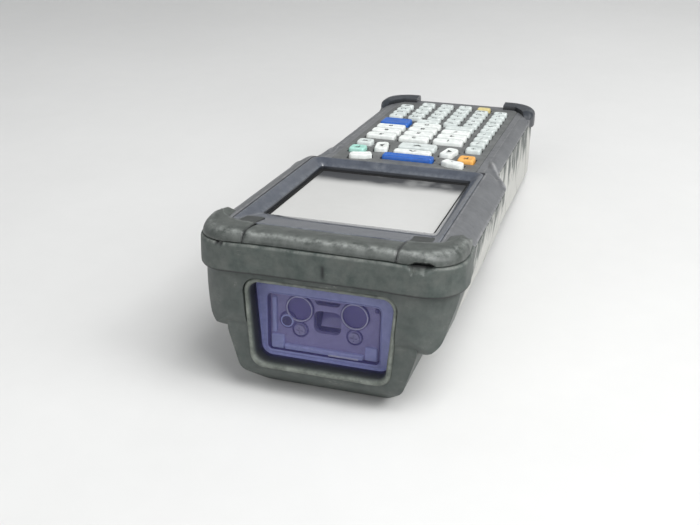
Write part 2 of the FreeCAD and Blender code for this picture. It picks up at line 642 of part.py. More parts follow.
def grown(outline, grow):
    """An outline moved outwards by a distance, with square corners."""
    middle_u = sum(u for u, v, radius in outline) / len(outline)
    middle_v = sum(v for u, v, radius in outline) / len(outline)
    return [(u + math.copysign(grow, u - middle_u), v + math.copysign(grow, v - middle_v), 0)
            for u, v, radius in outline]


for label, outlines in KEYS.items():
    cap = plan_solid(label + "_cap", outlines, flange_top,
                     f"Dims.panel_level + Dims.key_rise - ({flange_top:.4f})")
    skirt = plan_solid(label + "_skirt", [grown(outline, flange) for outline in outlines],
                       flange_top - dim("key_flange_thick"), "Dims.key_flange_thick")
    node(label, fuse(label + "_solid", cap, skirt))

panel_blank = plan_solid("panel_blank", [rectangle(
    -dim("panel_half") + 0.1, dim("panel_half") - 0.1, dim("panel_near") + 0.1, dim("panel_far") - 0.1,
    dim("panel_round"))], panel_low, "Dims.panel_thick")
key_ports = plan_solid("key_ports", [grown(outline, gap) for outlines in KEYS.values()
                                     for outline in outlines], panel_low - 1, "8")
spot_port = cylinder("spot_port", "Dims.spot_radius", "8", (
    dim("spot_across"), dim("spot_place"), panel_low - 1))
node("keypad_panel", cut("keypad_panel_solid", panel_blank, key_ports, spot_port))
mat_top = flange_top - dim("key_flange_thick") - dim("key_travel") - 0.3
mat_span = ((-dim("panel_half"), dim("panel_half")), (dim("panel_near") + 1, dim("panel_far") - 1))
node("keypad_mat", box("keypad_mat_solid", (*mat_span, (mat_top - dim("mat_thick"), mat_top))))
board_top = module_top - dim("module_thick") - 0.4
node("main_board", box("main_board_solid", (
    (-dim("board_half"), dim("board_half")), (24, 206), (board_top - dim("board_thick"), board_top))))

# Battery pack in the back of the grip, its latch, and the docking connector in the rear end

pack_blank = plan_solid("pack_blank", [rectangle(
    -dim("battery_half"), dim("battery_half"), dim("battery_near"), dim("battery_far"), 1.5)],
    grip_level, "Dims.grip_depth + Dims.battery_top")
finger_cut = cylinder("finger_cut", "9", "3", (0, dim("battery_near") - 4, grip_level - 1))
node("battery_pack", cut("battery_pack_solid", pack_blank, finger_cut))
latch_low = grip_level + 0.3
latch_half, latch_near, latch_far = dim("latch_half"), dim("latch_near"), dim("latch_far")
latch_blank = box("latch_blank", (
    (-latch_half, latch_half), (latch_near, latch_far), (latch_low, latch_low + dim("latch_thick"))))
latch_flange = box("latch_flange", (
    (-latch_half - 1.5, latch_half + 1.5), (latch_near + 0.5, latch_far),
    (grip_level + dim("wall") + 0.1, grip_level + dim("wall") + 1.1)))
latch_grooves = [box(f"latch_groove_{step}", (
    (-latch_half + 1.5, latch_half - 1.5), (latch_near + 1.6 + 2 * step, latch_near + 2.5 + 2 * step),
    (latch_low - 1, latch_low + 0.5))) for step in range(3)]
node("battery_latch", cut("battery_latch_solid", fuse("latch_form", latch_blank, latch_flange),
                          *latch_grooves))
dock_block = box("dock_block", (
    (-dim("dock_half"), dim("dock_half")), (rear - dim("dock_deep") - 2.5, rear - dim("dock_deep")),
    (dim("dock_low"), dim("dock_top"))))
contacts = [box(f"dock_contact_{step}", (
    (-9.6 + 2.4 * step, -8.4 + 2.4 * step), (rear - dim("dock_deep") - 0.1, rear - dim("dock_deep") + 1.2),
    (-16, -12.5))) for step in range(8)]
node("dock_connector", fuse("dock_connector_solid", dock_block, *contacts))
doc.recompute()

# Every object has to be sound before anything is written

for item in doc.Objects:
    if "Invalid" in item.State or "Error" in item.State:
        raise RuntimeError(f"{item.Name} failed: {item.State}")

slope_turn = FreeCAD.Rotation(V(1, 0, 0), -math.degrees(math.atan(FLOOR_SLOPE)))
laid = FreeCAD.Placement(V(0, 0, 0), slope_turn)
whole = FreeCAD.BoundBox()
for piece in nodes:
    turned = piece.Shape.copy()
    turned.Placement = laid.multiply(turned.Placement)
    whole.add(turned.optimalBoundingBox(False))
shift = V(-whole.Center.x, -whole.Center.y, -whole.ZMin)
laid = FreeCAD.Placement(shift, slope_turn)

os.makedirs("parts", exist_ok=True)
for piece in nodes:
    piece.Placement = laid.multiply(piece.Placement)
doc.recompute()
for piece in nodes:
    if piece.Shape.isNull() or not piece.Shape.isValid() or not piece.Shape.Solids:
        raise RuntimeError(f"{piece.Label} is not a sound solid")
    piece.Shape.exportStep(f"parts/{piece.Label}.step")
print(f"{len(nodes)} nodes, size {whole.XLength:.2f} x {whole.YLength:.2f} x {whole.ZLength:.2f} mm")
print(f"shift {shift.x:.4f} {shift.y:.4f} {shift.z:.4f}, tipped {math.degrees(math.atan(FLOOR_SLOPE)):.4f} deg")
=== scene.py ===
"""Looks of a rugged handheld barcode terminal that lies on its back.

Lengths in the classes are millimetres in the terminal's own deck frame: X across, Y from the scanner nose to
the keypad end, Z out of the keypad deck. DeckFrame lays them on the table, in metres.
"""
import json
import logging
import math
from dataclasses import dataclass, field
from enum import Enum
from functools import cache

import bpy
import numpy as np
from mathutils import Matrix, Vector


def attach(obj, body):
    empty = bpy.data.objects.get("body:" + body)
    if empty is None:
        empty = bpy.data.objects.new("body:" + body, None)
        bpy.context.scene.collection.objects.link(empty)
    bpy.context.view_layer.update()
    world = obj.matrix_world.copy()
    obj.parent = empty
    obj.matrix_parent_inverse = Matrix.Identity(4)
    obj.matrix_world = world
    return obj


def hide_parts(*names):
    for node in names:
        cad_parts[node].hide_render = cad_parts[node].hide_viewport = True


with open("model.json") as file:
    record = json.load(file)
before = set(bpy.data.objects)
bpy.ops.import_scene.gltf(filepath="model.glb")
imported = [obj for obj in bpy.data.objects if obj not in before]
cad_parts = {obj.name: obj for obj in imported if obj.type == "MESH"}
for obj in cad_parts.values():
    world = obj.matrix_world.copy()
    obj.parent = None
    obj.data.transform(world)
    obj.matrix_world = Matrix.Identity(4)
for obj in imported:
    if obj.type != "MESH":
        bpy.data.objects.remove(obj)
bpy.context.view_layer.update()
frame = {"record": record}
log = logging.getLogger("terminal")
MM = 0.001
Array = np.ndarray
Triple = tuple[float, float, float]
Socket = bpy.types.NodeSocket


# Frames and numeric helpers

@dataclass(frozen=True)
class DeckFrame:
    """Turns deck-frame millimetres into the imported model's metres.

    Args:
        tip: angle by which the keypad end is lowered, in radians.
        shift: place of the deck frame's origin, in metres.
    """
    tip: float
    shift: Triple

    @classmethod
    def from_record(cls, record: dict) -> "DeckFrame":
        """Reads the tip from the battery's slide axis and the shift from the docking port."""
        joint = next(j for j in record["behaviour"]["joints"] if j["name"] == "battery_pull")
        tip = math.atan2(-joint["axis"][1], -joint["axis"][2])
        port = next(m for m in record["mounts"] if m["name"] == "dock_port")["pos_m"]
        turned = cls(tip, (0.0, 0.0, 0.0)).place(np.array([[0.0, 215.0, -14.25]]))[0]
        return cls(tip, tuple(float(p - q) for p, q in zip(port, turned)))

    def turn(self) -> Array:
        """The rotation matrix about X that lowers the keypad end."""
        c, s = math.cos(-self.tip), math.sin(-self.tip)
        return np.array([[1.0, 0.0, 0.0], [0.0, c, -s], [0.0, s, c]])

    def place(self, points: Array) -> Array:
        """Points (..., 3) in deck millimetres, turned and moved into metres."""
        return points @ self.turn().T * MM + np.array(self.shift)


DECK = DeckFrame.from_record(frame["record"])


def smooth_step(low: float, high: float, value: Array) -> Array:
    """Rises from 0 at low to 1 at high along 3t squared less 2t cubed."""
    t = np.clip((value - low) / (high - low), 0.0, 1.0)
    return t * t * (3 - 2 * t)


def bell(value: Array | float, centre: float, width: float) -> Array | float:
    """A bell curve: e to the power of minus the square of the distance over the width."""
    return np.exp(-((value - centre) / width) ** 2)


def lumps(points: Array, scale: float, seed: int) -> Array:
    """A smooth irregular field between about -1 and 1.

    Sums twelve plane waves whose directions and phases come from a seeded draw.

    Args:
        points: array (..., 3) of places.
        scale: typical size of a lump, in the points' unit.
        seed: seed of the draw.

    Returns:
        Array (...) of heights.
    """
    draw = np.random.default_rng(seed)
    waves = draw.normal(size=(12, 3)) * (2 * math.pi / scale) * 0.6
    phases = draw.uniform(0, 2 * math.pi, 12)
    return np.sin(points @ waves.T + phases).sum(axis=-1) / 4.0


def rounded_loop(corners: list[Triple], per_corner: int, per_side: int) -> Array:
    """A closed loop (n, 2) through rounded corners, with as many points for any sizes.

    Each corner (u, v, radius) is an arc tangent to its two sides; each side is cut evenly.
    """
    count = len(corners)
    here = np.array([[u, v] for u, v, _ in corners], float)
    radii = np.array([radius for _, _, radius in corners], float)
    before = np.roll(here, 1, axis=0) - here
    after = np.roll(here, -1, axis=0) - here
    before /= np.linalg.norm(before, axis=1, keepdims=True)
    after /= np.linalg.norm(after, axis=1, keepdims=True)
    half = np.arccos(np.clip((before * after).sum(axis=1), -1, 1)) / 2
    reach = (radii / np.tan(half))[:, None]
    middle = before + after
    middle /= np.linalg.norm(middle, axis=1, keepdims=True)
    centres = here + middle * (radii / np.sin(half))[:, None]
    starts, ends = here + before * reach, here + after * reach
    sections = []
    for index in range(count):
        first, last = starts[index] - centres[index], ends[index] - centres[index]
        a0 = math.atan2(first[1], first[0])
        turn = (math.atan2(last[1], last[0]) - a0 + math.pi) % (2 * math.pi) - math.pi
        angles = a0 + turn * np.linspace(0, 1, per_corner)
        arc = centres[index] + radii[index] * np.stack([np.cos(angles), np.sin(angles)], axis=1)
        steps = np.linspace(0, 1, per_side + 2)[1:-1, None]
        sections.extend([arc, ends[index] + (starts[(index + 1) % count] - ends[index]) * steps])
    return np.concatenate(sections)


def mirrored(half: list[Triple]) -> list[Triple]:
    """The corners of a shape symmetric about the first axis's zero, from its right half."""
    return list(half) + [(-u, v, radius) for u, v, radius in reversed(half)]


def box_corners(u0: float, u1: float, v0: float, v1: float, radius: float) -> list[Triple]:
    """The corners of a rounded rectangle, going round the same way as mirrored()."""
    return [(u1, v0, radius), (u1, v1, radius), (u0, v1, radius), (u0, v0, radius)]


def circle(centre: tuple[float, float], radius: float, count: int) -> Array:
    """Points (count, 2) of a circle."""
    angle = np.linspace(0, 2 * math.pi, count, endpoint=False)
    return np.stack([centre[0] + radius * np.cos(angle), centre[1] + radius * np.sin(angle)], axis=1)


def lift(loop: Array, level: float) -> Array:
    """A plan loop (n, 2) at one level."""
    return np.column_stack([loop, np.full(len(loop), level)])


def stand(loop: Array, place: float) -> Array:
    """A loop (n, 2) seen from the nose, standing at one place along the terminal."""
    return np.column_stack([loop[:, 0], np.full(len(loop), place), loop[:, 1]])


# Finishes

class Shading:
    """Makes the nodes of one material, whose textures read object coordinates."""

    def __init__(self, name: str) -> None:
        """Starts a material with its shader and its coordinates."""
        self.material = bpy.data.materials.new(name)
        self.material.use_nodes = True
        self.tree = self.material.node_tree
        self.shader = self.tree.nodes["Principled BSDF"]
        self.place = self.node("ShaderNodeTexCoord", {}).outputs["Object"]

    def feed(self, node: bpy.types.Node, inputs: dict[str | int, object]) -> None:
        """Links the inputs that are given as sockets and sets the others."""
        for key, value in inputs.items():
            if isinstance(value, Socket):
                self.tree.links.new(value, node.inputs[key])
            else:
                node.inputs[key].default_value = value

    def node(self, kind: str, inputs: dict[str | int, object], **settings: object) -> bpy.types.Node:
        """Adds a node with its settings and inputs."""
        made = self.tree.nodes.new(kind)
        for key, value in settings.items():
            setattr(made, key, value)
        self.feed(made, inputs)
        return made

    def combine(self, operation: str, first: Socket, second: Socket | float = 0.0) -> Socket:
        """The result of a sum, a product or another operation on values."""
        return self.node("ShaderNodeMath", {0: first, 1: second}, operation=operation).outputs["Value"]

    def times(self, first: Socket, second: Socket | float) -> Socket:
        """The product of two values."""
        return self.combine("MULTIPLY", first, second)

    def mix(self, factor: Socket | float, first: Socket | Triple, second: Socket | Triple,
            kind: str = "MIX") -> Socket:
        """Mixes two colours, each a socket or a constant."""
        ends = [(*end, 1.0) if isinstance(end, tuple) else end for end in (first, second)]
        return self.node("ShaderNodeMix", {"Factor": factor, "A": ends[0], "B": ends[1]},
                         data_type="RGBA", blend_type=kind).outputs["Result"]

    def noise(self, size: float, detail: float, rough: float, vector: Socket | None = None,
              distortion: float = 0.0) -> Socket:
        """A noise texture with its lump size in millimetres."""
        return self.node("ShaderNodeTexNoise", {
            "Vector": vector or self.place, "Scale": 1 / (size * MM), "Detail": detail, "Roughness": rough,
            "Distortion": distortion}).outputs["Fac"]

    def ramp(self, value: Socket, low: float, high: float, after: float | None = None) -> Socket:
        """A grey ramp that rises from low to high, and falls again where it is given an after."""
        made = self.node("ShaderNodeValToRGB", {"Fac": value})
        made.color_ramp.elements[0].position = low
        made.color_ramp.elements[1].position = high
        if after is not None:
            made.color_ramp.elements[1].color = (1, 1, 1, 1)
            made.color_ramp.elements.new(after).color = (0, 0, 0, 1)
        return made.outputs["Color"]

    def span(self, value: Socket, low: float, high: float) -> Socket:
        """A value between 0 and 1 laid out from low to high."""
        ranged = self.node("ShaderNodeMapRange", {"Value": value, "To Min": low, "To Max": high})
        return ranged.outputs["Result"]

    def rise(self, value: Socket, low: float, high: float) -> Socket:
        """Rises smoothly from 0 at low to 1 at high, both in millimetres; low may be the larger."""
        return self.node("ShaderNodeMapRange", {"Value": value, "From Min": low * MM, "From Max": high * MM},
                         interpolation_type="SMOOTHSTEP").outputs["Result"]

    def stretched(self, scale: Triple, turn: Triple) -> Socket:
        """Object coordinates scaled and turned."""
        return self.node("ShaderNodeMapping", {
            "Scale": scale, "Rotation": turn, "Vector": self.place}).outputs["Vector"]

    def deck(self) -> tuple[Socket, ...]:
        """Object coordinates turned back into the deck frame, in metres, and split in three."""
        origin = -(np.array(DECK.shift) @ DECK.turn())
        back = self.node("ShaderNodeMapping", {
            "Location": tuple(float(value) for value in origin), "Rotation": (DECK.tip, 0.0, 0.0),
            "Vector": self.place})
        split = self.node("ShaderNodeSeparateXYZ", {"Vector": back.outputs["Vector"]})
        return tuple(split.outputs)

    def attribute(self, name: str) -> Socket:
        """A point attribute's value."""
        return self.node("ShaderNodeAttribute", {}, attribute_name=name).outputs["Fac"]


class Wear(Enum):
    """How a finish ages, and the painted light and shade that go with it."""
    NONE = 0
    RUBBED = 1
    STREAKED = 2
    SHADED = 3


@dataclass(frozen=True)
class Finish:
    """A moulded or coated surface with mottling, grain, wear, and painted highlights, sheen and shade.

    Args:
        name: name of the material.
        colour: base colour, linear RGB.
        second: colour of the mottling.
        rub_and_highlight: colour where the surface is rubbed through, also used to paint highlights on edges
            and ridges and the pale sheen of streaked walls.
        rough: roughness.
        rough_span: how much the roughness varies.
        grain: size in mm and depth in mm of the fine texture.
        mottle: size in mm of the mottling.
        wear_and_light: how the finish ages, and which painted highlights, sheen and shade go with it.
        amount: strength of the rubbed wear and painted highlights.
        scratched: strength of the thin scratches.
        speckle: strength of the fine dark specks.
        shade_and_marks: colour of the painted shade in gaps, holes and recesses and under edges, and of the
            few dark marks; on the screen film, colour of its painted shade strip.
        coat: weight of the clear coat.
    """
    name: str
    colour: Triple
    second: Triple
    rub_and_highlight: Triple = (0.35, 0.36, 0.34)
    rough: float = 0.55
    rough_span: float = 0.2
    grain: tuple[float, float] = (0.5, 0.02)
    mottle: float = 14.0
    wear_and_light: Wear = Wear.NONE
    amount: float = 0.5
    scratched: float = 0.25
    speckle: float = 0.22
    shade_and_marks: Triple = (0.012, 0.013, 0.014)
    coat: float = 0.0

    def make(self) -> bpy.types.Material:
        """Builds the node tree and returns the material."""
        made = Shading(self.name)
        mottling = made.noise(self.mottle, 5.0, 0.62)
        colour = made.mix(made.ramp(mottling, 0.38, 0.66), self.colour, self.second)
        specks = made.ramp(made.noise(self.grain[0] * 6, 3.0, 0.6), 0.3, 0.75)
        colour = made.mix(self.speckle, colour, specks, "MULTIPLY")
        if self.wear_and_light is Wear.STREAKED:
            colour = self._streaks(made, colour)
        if self.wear_and_light is Wear.SHADED:
            colour = self._shaded(made, colour)
        if self.wear_and_light is not Wear.NONE:
            colour = self._worn_colour(made, colour)
        bump = made.node("ShaderNodeBump", {
            "Strength": 0.7, "Distance": self.grain[1] * MM, "Height": made.noise(self.grain[0], 2.0, 0.5)})
        made.feed(made.shader, {
            "Base Color": colour, "Normal": bump.outputs["Normal"], "Coat Weight": self.coat,
            "Roughness": made.span(mottling, self.rough - self.rough_span / 2,
                                   self.rough + self.rough_span / 2)})
        return made.material

    def _worn_colour(self, made: Shading, colour: Socket) -> Socket:
        """Mixes in the rubbed colour along edges, which also paints highlights, thin scratches, and the
        painted shade and dark marks of each point.

        A scratch is where a stretched noise crosses its middle and a coarse one is high.
        """
        broken = made.ramp(made.noise(3.2, 6.0, 0.7), 0.36, 0.62)
        rubbed = made.times(made.attribute("rubbed"), broken)
        colour = made.mix(made.times(rubbed, self.amount), colour, self.rub_and_highlight)
        lines = made.noise(2.2, 2.0, 0.5, made.stretched((0.16, 1.0, 1.0), (0.5, 0.35, 0.5)))
        where = made.ramp(made.noise(9.0, 3.0, 0.6), 0.55, 0.62)
        scratch = made.times(made.ramp(lines, 0.495, 0.5, 0.505), where)
        colour = made.mix(made.times(scratch, self.scratched), colour, self.rub_and_highlight)
        # Darkens each point by its painted shade in gaps, holes, recesses and under edges, and by its few
        # dark marks.
        return made.mix(made.attribute("painted_shade_and_marks"), colour, self.shade_and_marks)

    def _streaks(self, made: Shading, colour: Socket) -> Socket:
        """Side walls pale, with dark runs that hang from the seam; the pale is partly wear and partly a
        painted sheen of light reflected from the table.

        The pale share is a noise stretched down the wall, plus the depth under the seam, which paints the
        lower wall paler with that sheen, on the walls behind the head only.
        """
        x, y, z = made.deck()
        across = made.combine("ABSOLUTE", x)
        behind = made.times(made.rise(across, 32.0, 35.0), made.rise(y, 17.0, 26.0))
        runs = made.noise(7.0, 8.0, 0.66, made.stretched((1.0, 1.0, 0.3), (0.35, 0.0, 0.0)), 0.6)
        # Paler lower down the wall: a painted sheen of light reflected from the table.
        deep = made.times(made.rise(z, -2.0, -24.0), 0.2)
        pale = made.ramp(made.combine("ADD", runs, deep), 0.5, 0.62)
        return made.mix(made.times(behind, pale), colour, self.rub_and_highlight)

    def _shaded(self, made: Shading, colour: Socket) -> Socket:
        """Screen film with painted shade: it goes dark in a patchy strip under the far edge of its frame."""
        edge = made.times(made.rise(made.deck()[1], 69.0, 81.0), made.noise(12.0, 3.0, 0.5))
        return made.mix(made.times(edge, 2.2), colour, self.shade_and_marks)


@dataclass(frozen=True)
class Glass:
    """A tinted see-through sheet."""
    name: str
    tint: Triple
    clear: float
    rough: float = 0.06

    def make(self) -> bpy.types.Material:
        """Mixes a transparent sheet with a glossy tinted body, and smudges its gloss."""
        made = Shading(self.name)
        smudge = made.span(made.noise(9.0, 4.0, 0.6), self.rough, self.rough + 0.25)
        made.feed(made.shader, {
            "Base Color": (*self.tint, 1.0), "Alpha": 1 - self.clear, "IOR": 1.5, "Roughness": smudge})
        return made.material


KEY_CAP = {"rough": 0.4, "grain": (0.3, 0.006), "mottle": 6.0}
FINE = {"rough": 0.5, "grain": (0.3, 0.01)}
POLISHED = {"rough": 0.12, "rough_span": 0.1, "grain": (1.5, 0.002)}
FINISHES: dict[str, Finish | Glass] = {finish.name: finish for finish in (
    Finish("band_rubber", (0.045, 0.062, 0.056), (0.088, 0.100, 0.092), (0.24, 0.25, 0.23), 0.55, 0.3,
           (0.4, 0.03), 8.0, Wear.RUBBED, 0.55, 0.3),
    Finish("roll_rubber", (0.050, 0.058, 0.053), (0.082, 0.092, 0.084), (0.42, 0.44, 0.42), 0.42, 0.3,
           (0.4, 0.03), 6.0, Wear.RUBBED, 0.6, 0.3),
    Finish("rim_rubber", (0.075, 0.088, 0.076), (0.12, 0.135, 0.118), (0.24, 0.26, 0.23), 0.5, 0.3,
           (0.35, 0.03), 7.0, Wear.RUBBED, 0.8, 0.1),
    Finish("worn_rubber", (0.050, 0.062, 0.055), (0.078, 0.092, 0.082), (0.26, 0.27, 0.25), 0.5, 0.3,
           (0.35, 0.03), 11.0, Wear.RUBBED, 0.8),
    Finish("dark_rubber", (0.018, 0.022, 0.03), (0.035, 0.042, 0.052), (0.16, 0.17, 0.18), 0.38, 0.2,
           (0.3, 0.02), 9.0, Wear.RUBBED, 0.6),
    Finish("casing_grey", (0.105, 0.11, 0.118), (0.15, 0.155, 0.163), (0.42, 0.42, 0.42), 0.36, 0.2,
           (0.28, 0.015), 16.0, Wear.RUBBED, 0.6, 0.15),
    # casing_worn's pale rubbed colour also paints the side walls' reflected sheen.
    Finish("casing_worn", (0.064, 0.078, 0.072), (0.106, 0.118, 0.110), (0.50, 0.50, 0.47), 0.52, 0.25,
           (0.35, 0.03), 9.0, Wear.STREAKED, 0.9, 0.35),
    Finish("bezel_slate", (0.048, 0.058, 0.080), (0.062, 0.073, 0.098), (0.34, 0.36, 0.38), 0.33, 0.15,
           (0.22, 0.005), 12.0, Wear.RUBBED, 0.5, 0.1, coat=1.0),
    Finish("panel_grain", (0.115, 0.120, 0.119), (0.175, 0.180, 0.178), rough=0.55, grain=(0.55, 0.10),
           mottle=5.0),
    Finish("black_rubber", (0.006, 0.006, 0.006), (0.012, 0.012, 0.012), rough=0.6),
    Finish("dark_plastic", (0.03, 0.033, 0.036), (0.042, 0.046, 0.05), rough=0.5, grain=(0.4, 0.03)),
    Finish("engine_plastic", (0.31, 0.29, 0.50), (0.36, 0.34, 0.56), **FINE),
    Finish("engine_frame", (0.42, 0.46, 0.78), (0.48, 0.53, 0.84), rough=0.42, grain=(0.3, 0.01)),
    Finish("engine_shade", (0.07, 0.06, 0.20), (0.09, 0.08, 0.24), **FINE),
    Finish("engine_dark", (0.03, 0.026, 0.08), (0.045, 0.04, 0.11), rough=0.5),
    Finish("lens_glass", (0.10, 0.085, 0.26), (0.13, 0.11, 0.31), **POLISHED),
    Finish("lens_ring", (0.62, 0.62, 0.74), (0.70, 0.70, 0.80), rough=0.3, grain=(0.4, 0.005)),
    Finish("mirror", (0.22, 0.20, 0.44), (0.28, 0.26, 0.52), **POLISHED),
    Finish("screw_steel", (0.30, 0.29, 0.45), (0.38, 0.36, 0.52), rough=0.35, grain=(0.3, 0.01)),
    # screen_film's shade_and_marks colour paints its shade strip under the bezel's far edge.
    Finish("screen_film", (0.55, 0.55, 0.535), (0.59, 0.59, 0.575), rough=0.3, rough_span=0.15,
           grain=(0.5, 0.002), mottle=60.0, wear_and_light=Wear.SHADED, scratched=0.0, speckle=0.02,
           shade_and_marks=(0.05, 0.052, 0.055)),
    Finish("board_green", (0.02, 0.09, 0.04), (0.03, 0.12, 0.05)),
    Finish("key_white", (0.84, 0.88, 0.85), (0.90, 0.93, 0.90), rough_span=0.15, **KEY_CAP),
    Finish("key_pale", (0.66, 0.72, 0.70), (0.74, 0.79, 0.77), **KEY_CAP),
    Finish("key_blue", (0.016, 0.115, 0.48), (0.024, 0.15, 0.58), rough=0.34, grain=(0.3, 0.006), mottle=6.0),
    Finish("key_mint", (0.38, 0.72, 0.62), (0.46, 0.80, 0.70), **KEY_CAP),
    Finish("key_amber", (0.88, 0.42, 0.08), (0.94, 0.50, 0.13), **KEY_CAP),
    Finish("key_straw", (0.70, 0.58, 0.24), (0.76, 0.66, 0.32), **KEY_CAP),
    Finish("key_print", (0.03, 0.033, 0.036), (0.05, 0.055, 0.058), rough=0.5, grain=(0.3, 0.004)),
    Finish("table", (0.66, 0.66, 0.65), (0.69, 0.69, 0.68), rough=0.8, rough_span=0.1, grain=(2.0, 0.02),
           mottle=260.0, speckle=0.015),
    Glass("violet_glass", (0.09, 0.085, 0.26), 0.8),
)}


@cache
def paint(name: str) -> bpy.types.Material:
    """The material with a name, made on first use."""
    return FINISHES[name].make()


# Mesh making

class Skin:
    """Builds one mesh object from grids of points in the deck frame."""

    def __init__(self, name: str) -> None:
        """Starts an empty piece with a name."""
        self.name = name
        self.points: list[Array] = []
        self.faces: list[tuple[int, ...]] = []
        self.slots: list[int] = []
        self.wear_and_light: list[Array] = []
        self.shade_and_mark_share: list[Array] = []
        self.count = 0

    def _keep(self, points: Array, wear_and_light: Array | None = None, shade_and_mark_share: Array | None = None) -> None:
        """Keeps a block of points with their rubbed wear and painted highlight, and their painted shade and
        dark marks, which are 0 where none is given.
        """
        flat = points.reshape(-1, 3)
        self.points.append(flat)
        self.wear_and_light.append(np.zeros(len(flat)) if wear_and_light is None else wear_and_light.reshape(-1))
        self.shade_and_mark_share.append(np.zeros(len(flat)) if shade_and_mark_share is None else shade_and_mark_share.reshape(-1))
        self.count += len(flat)

    def grid(self, points: Array, closed: bool = False, flip: bool = False, slot: int = 0,
             wear_and_light: Array | None = None, shade_and_mark_share: Array | None = None) -> Array:
        """Adds a grid (rows, columns, 3) of quads.

        Args:
            points: the grid in deck millimetres.
            closed: whether the last column joins the first.
            flip: whether the faces are turned over.
            slot: material index of the faces.
            wear_and_light: rubbed wear and painted highlight of each point, from 0 to 1.
            shade_and_mark_share: painted shade of each point in gaps, holes, recesses and under edges, and
                its dark marks, from 0 to 1.

        Returns:
            The indices (rows, columns) of the added points.
        """
        rows, columns = points.shape[:2]
        index = np.arange(rows * columns).reshape(rows, columns) + self.count
        right = np.roll(index, -1, axis=1) if closed else index[:, 1:]
        left = index if closed else index[:, :-1]
        quads = np.stack([left[:-1], right[:-1], right[1:], left[1:]], axis=-1).reshape(-1, 4)
        if flip:
            quads = quads[:, ::-1]
        self._keep(points, wear_and_light, shade_and_mark_share)
        self.faces.extend(map(tuple, quads.tolist()))
        self.slots.extend([slot] * len(quads))
        return index

    def cap(self, loop: Array, flip: bool = False, slot: int = 0) -> None:
        """Closes a loop of point indices with one face."""
        face = tuple(int(i) for i in loop)
        self.faces.append(face[::-1] if flip else face)
        self.slots.append(slot)

    def loose(self, points: Array, faces: list[tuple[int, ...]], slot: int = 0) -> None:
        """Adds points (n, 3) in deck millimetres with faces of their own."""
        self.faces.extend(tuple(int(i) + self.count for i in face) for face in faces)
        self.slots.extend([slot] * len(faces))
        self._keep(points)

    def fit(self, paints: tuple[str, ...], smooth: float, body: str, slot: str, *nodes: str) -> None:
        """Makes the object at the origin, rides it on its body, hides its nodes and logs it.

        Args:
            paints: names of the finishes, by slot index.
            smooth: edges sharper than this many degrees stay sharp.
            body: the body that it rides on.
            slot: material slot in the record; not used.
            nodes: the CAD nodes that it stands for.
        """
        mesh = bpy.data.meshes.new(self.name)
        mesh.from_pydata(DECK.place(np.concatenate(self.points)).tolist(), [], self.faces)
        mesh.update()
        for name in paints:
            mesh.materials.append(paint(name))
        mesh.polygons.foreach_set("material_index", np.array(self.slots, dtype=np.int32))
        for name, values in (("rubbed", self.wear_and_light), ("painted_shade_and_marks", self.shade_and_mark_share)):
            layer = mesh.attributes.new(name, "FLOAT", "POINT")
            layer.data.foreach_set("value", np.concatenate(values).astype(np.float32))
        mesh.polygons.foreach_set("use_smooth", np.ones(len(self.faces), dtype=bool))
        mesh.set_sharp_from_angle(angle=math.radians(smooth))
        made = bpy.data.objects.new(self.name, mesh)
        bpy.context.scene.collection.objects.link(made)
        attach(made, body)
        if nodes:
            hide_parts(*nodes)
        log.info("%s on %s, %d faces, for %s", self.name, body, len(self.faces), nodes or "no node")


class Strip(Skin):
    """A skin whose rows of points run along one line, shut at both ends."""

    def __init__(self, name: str) -> None:
        """Starts without rows."""
        super().__init__(name)
        self.rows: list[tuple[Array, Array, Array]] = []

    def add(self, plan: Array, level: Array | float, rub_and_highlight: float, shade_and_marks: Array | float = 0.0) -> None:
        """Adds one row: plan points (n, 2), their height, their rubbed wear and painted highlight, and their
        painted shade and dark marks.
        """
        flat = np.zeros(len(plan))
        self.rows.append((np.column_stack([plan, flat + level]), flat + rub_and_highlight, flat + shade_and_marks))

    def stacked(self) -> list[Array]:
        """The rows' points, rubbed wear and painted highlight, and painted shade and dark marks, each as one
        array.
        """
        return [np.stack(part) for part in zip(*self.rows)]

    def shut(self, points: Array, wear_and_light: Array, shade_and_mark_share: Array, flip: bool = False) -> None:
        """Adds the rows as one grid and closes both its ends."""
        index = self.grid(points, wear_and_light=wear_and_light, shade_and_mark_share=shade_and_mark_share, flip=flip)
        self.cap(index[:, 0], flip=flip)
        self.cap(index[:, -1], flip=not flip)


# Sub-assemblies

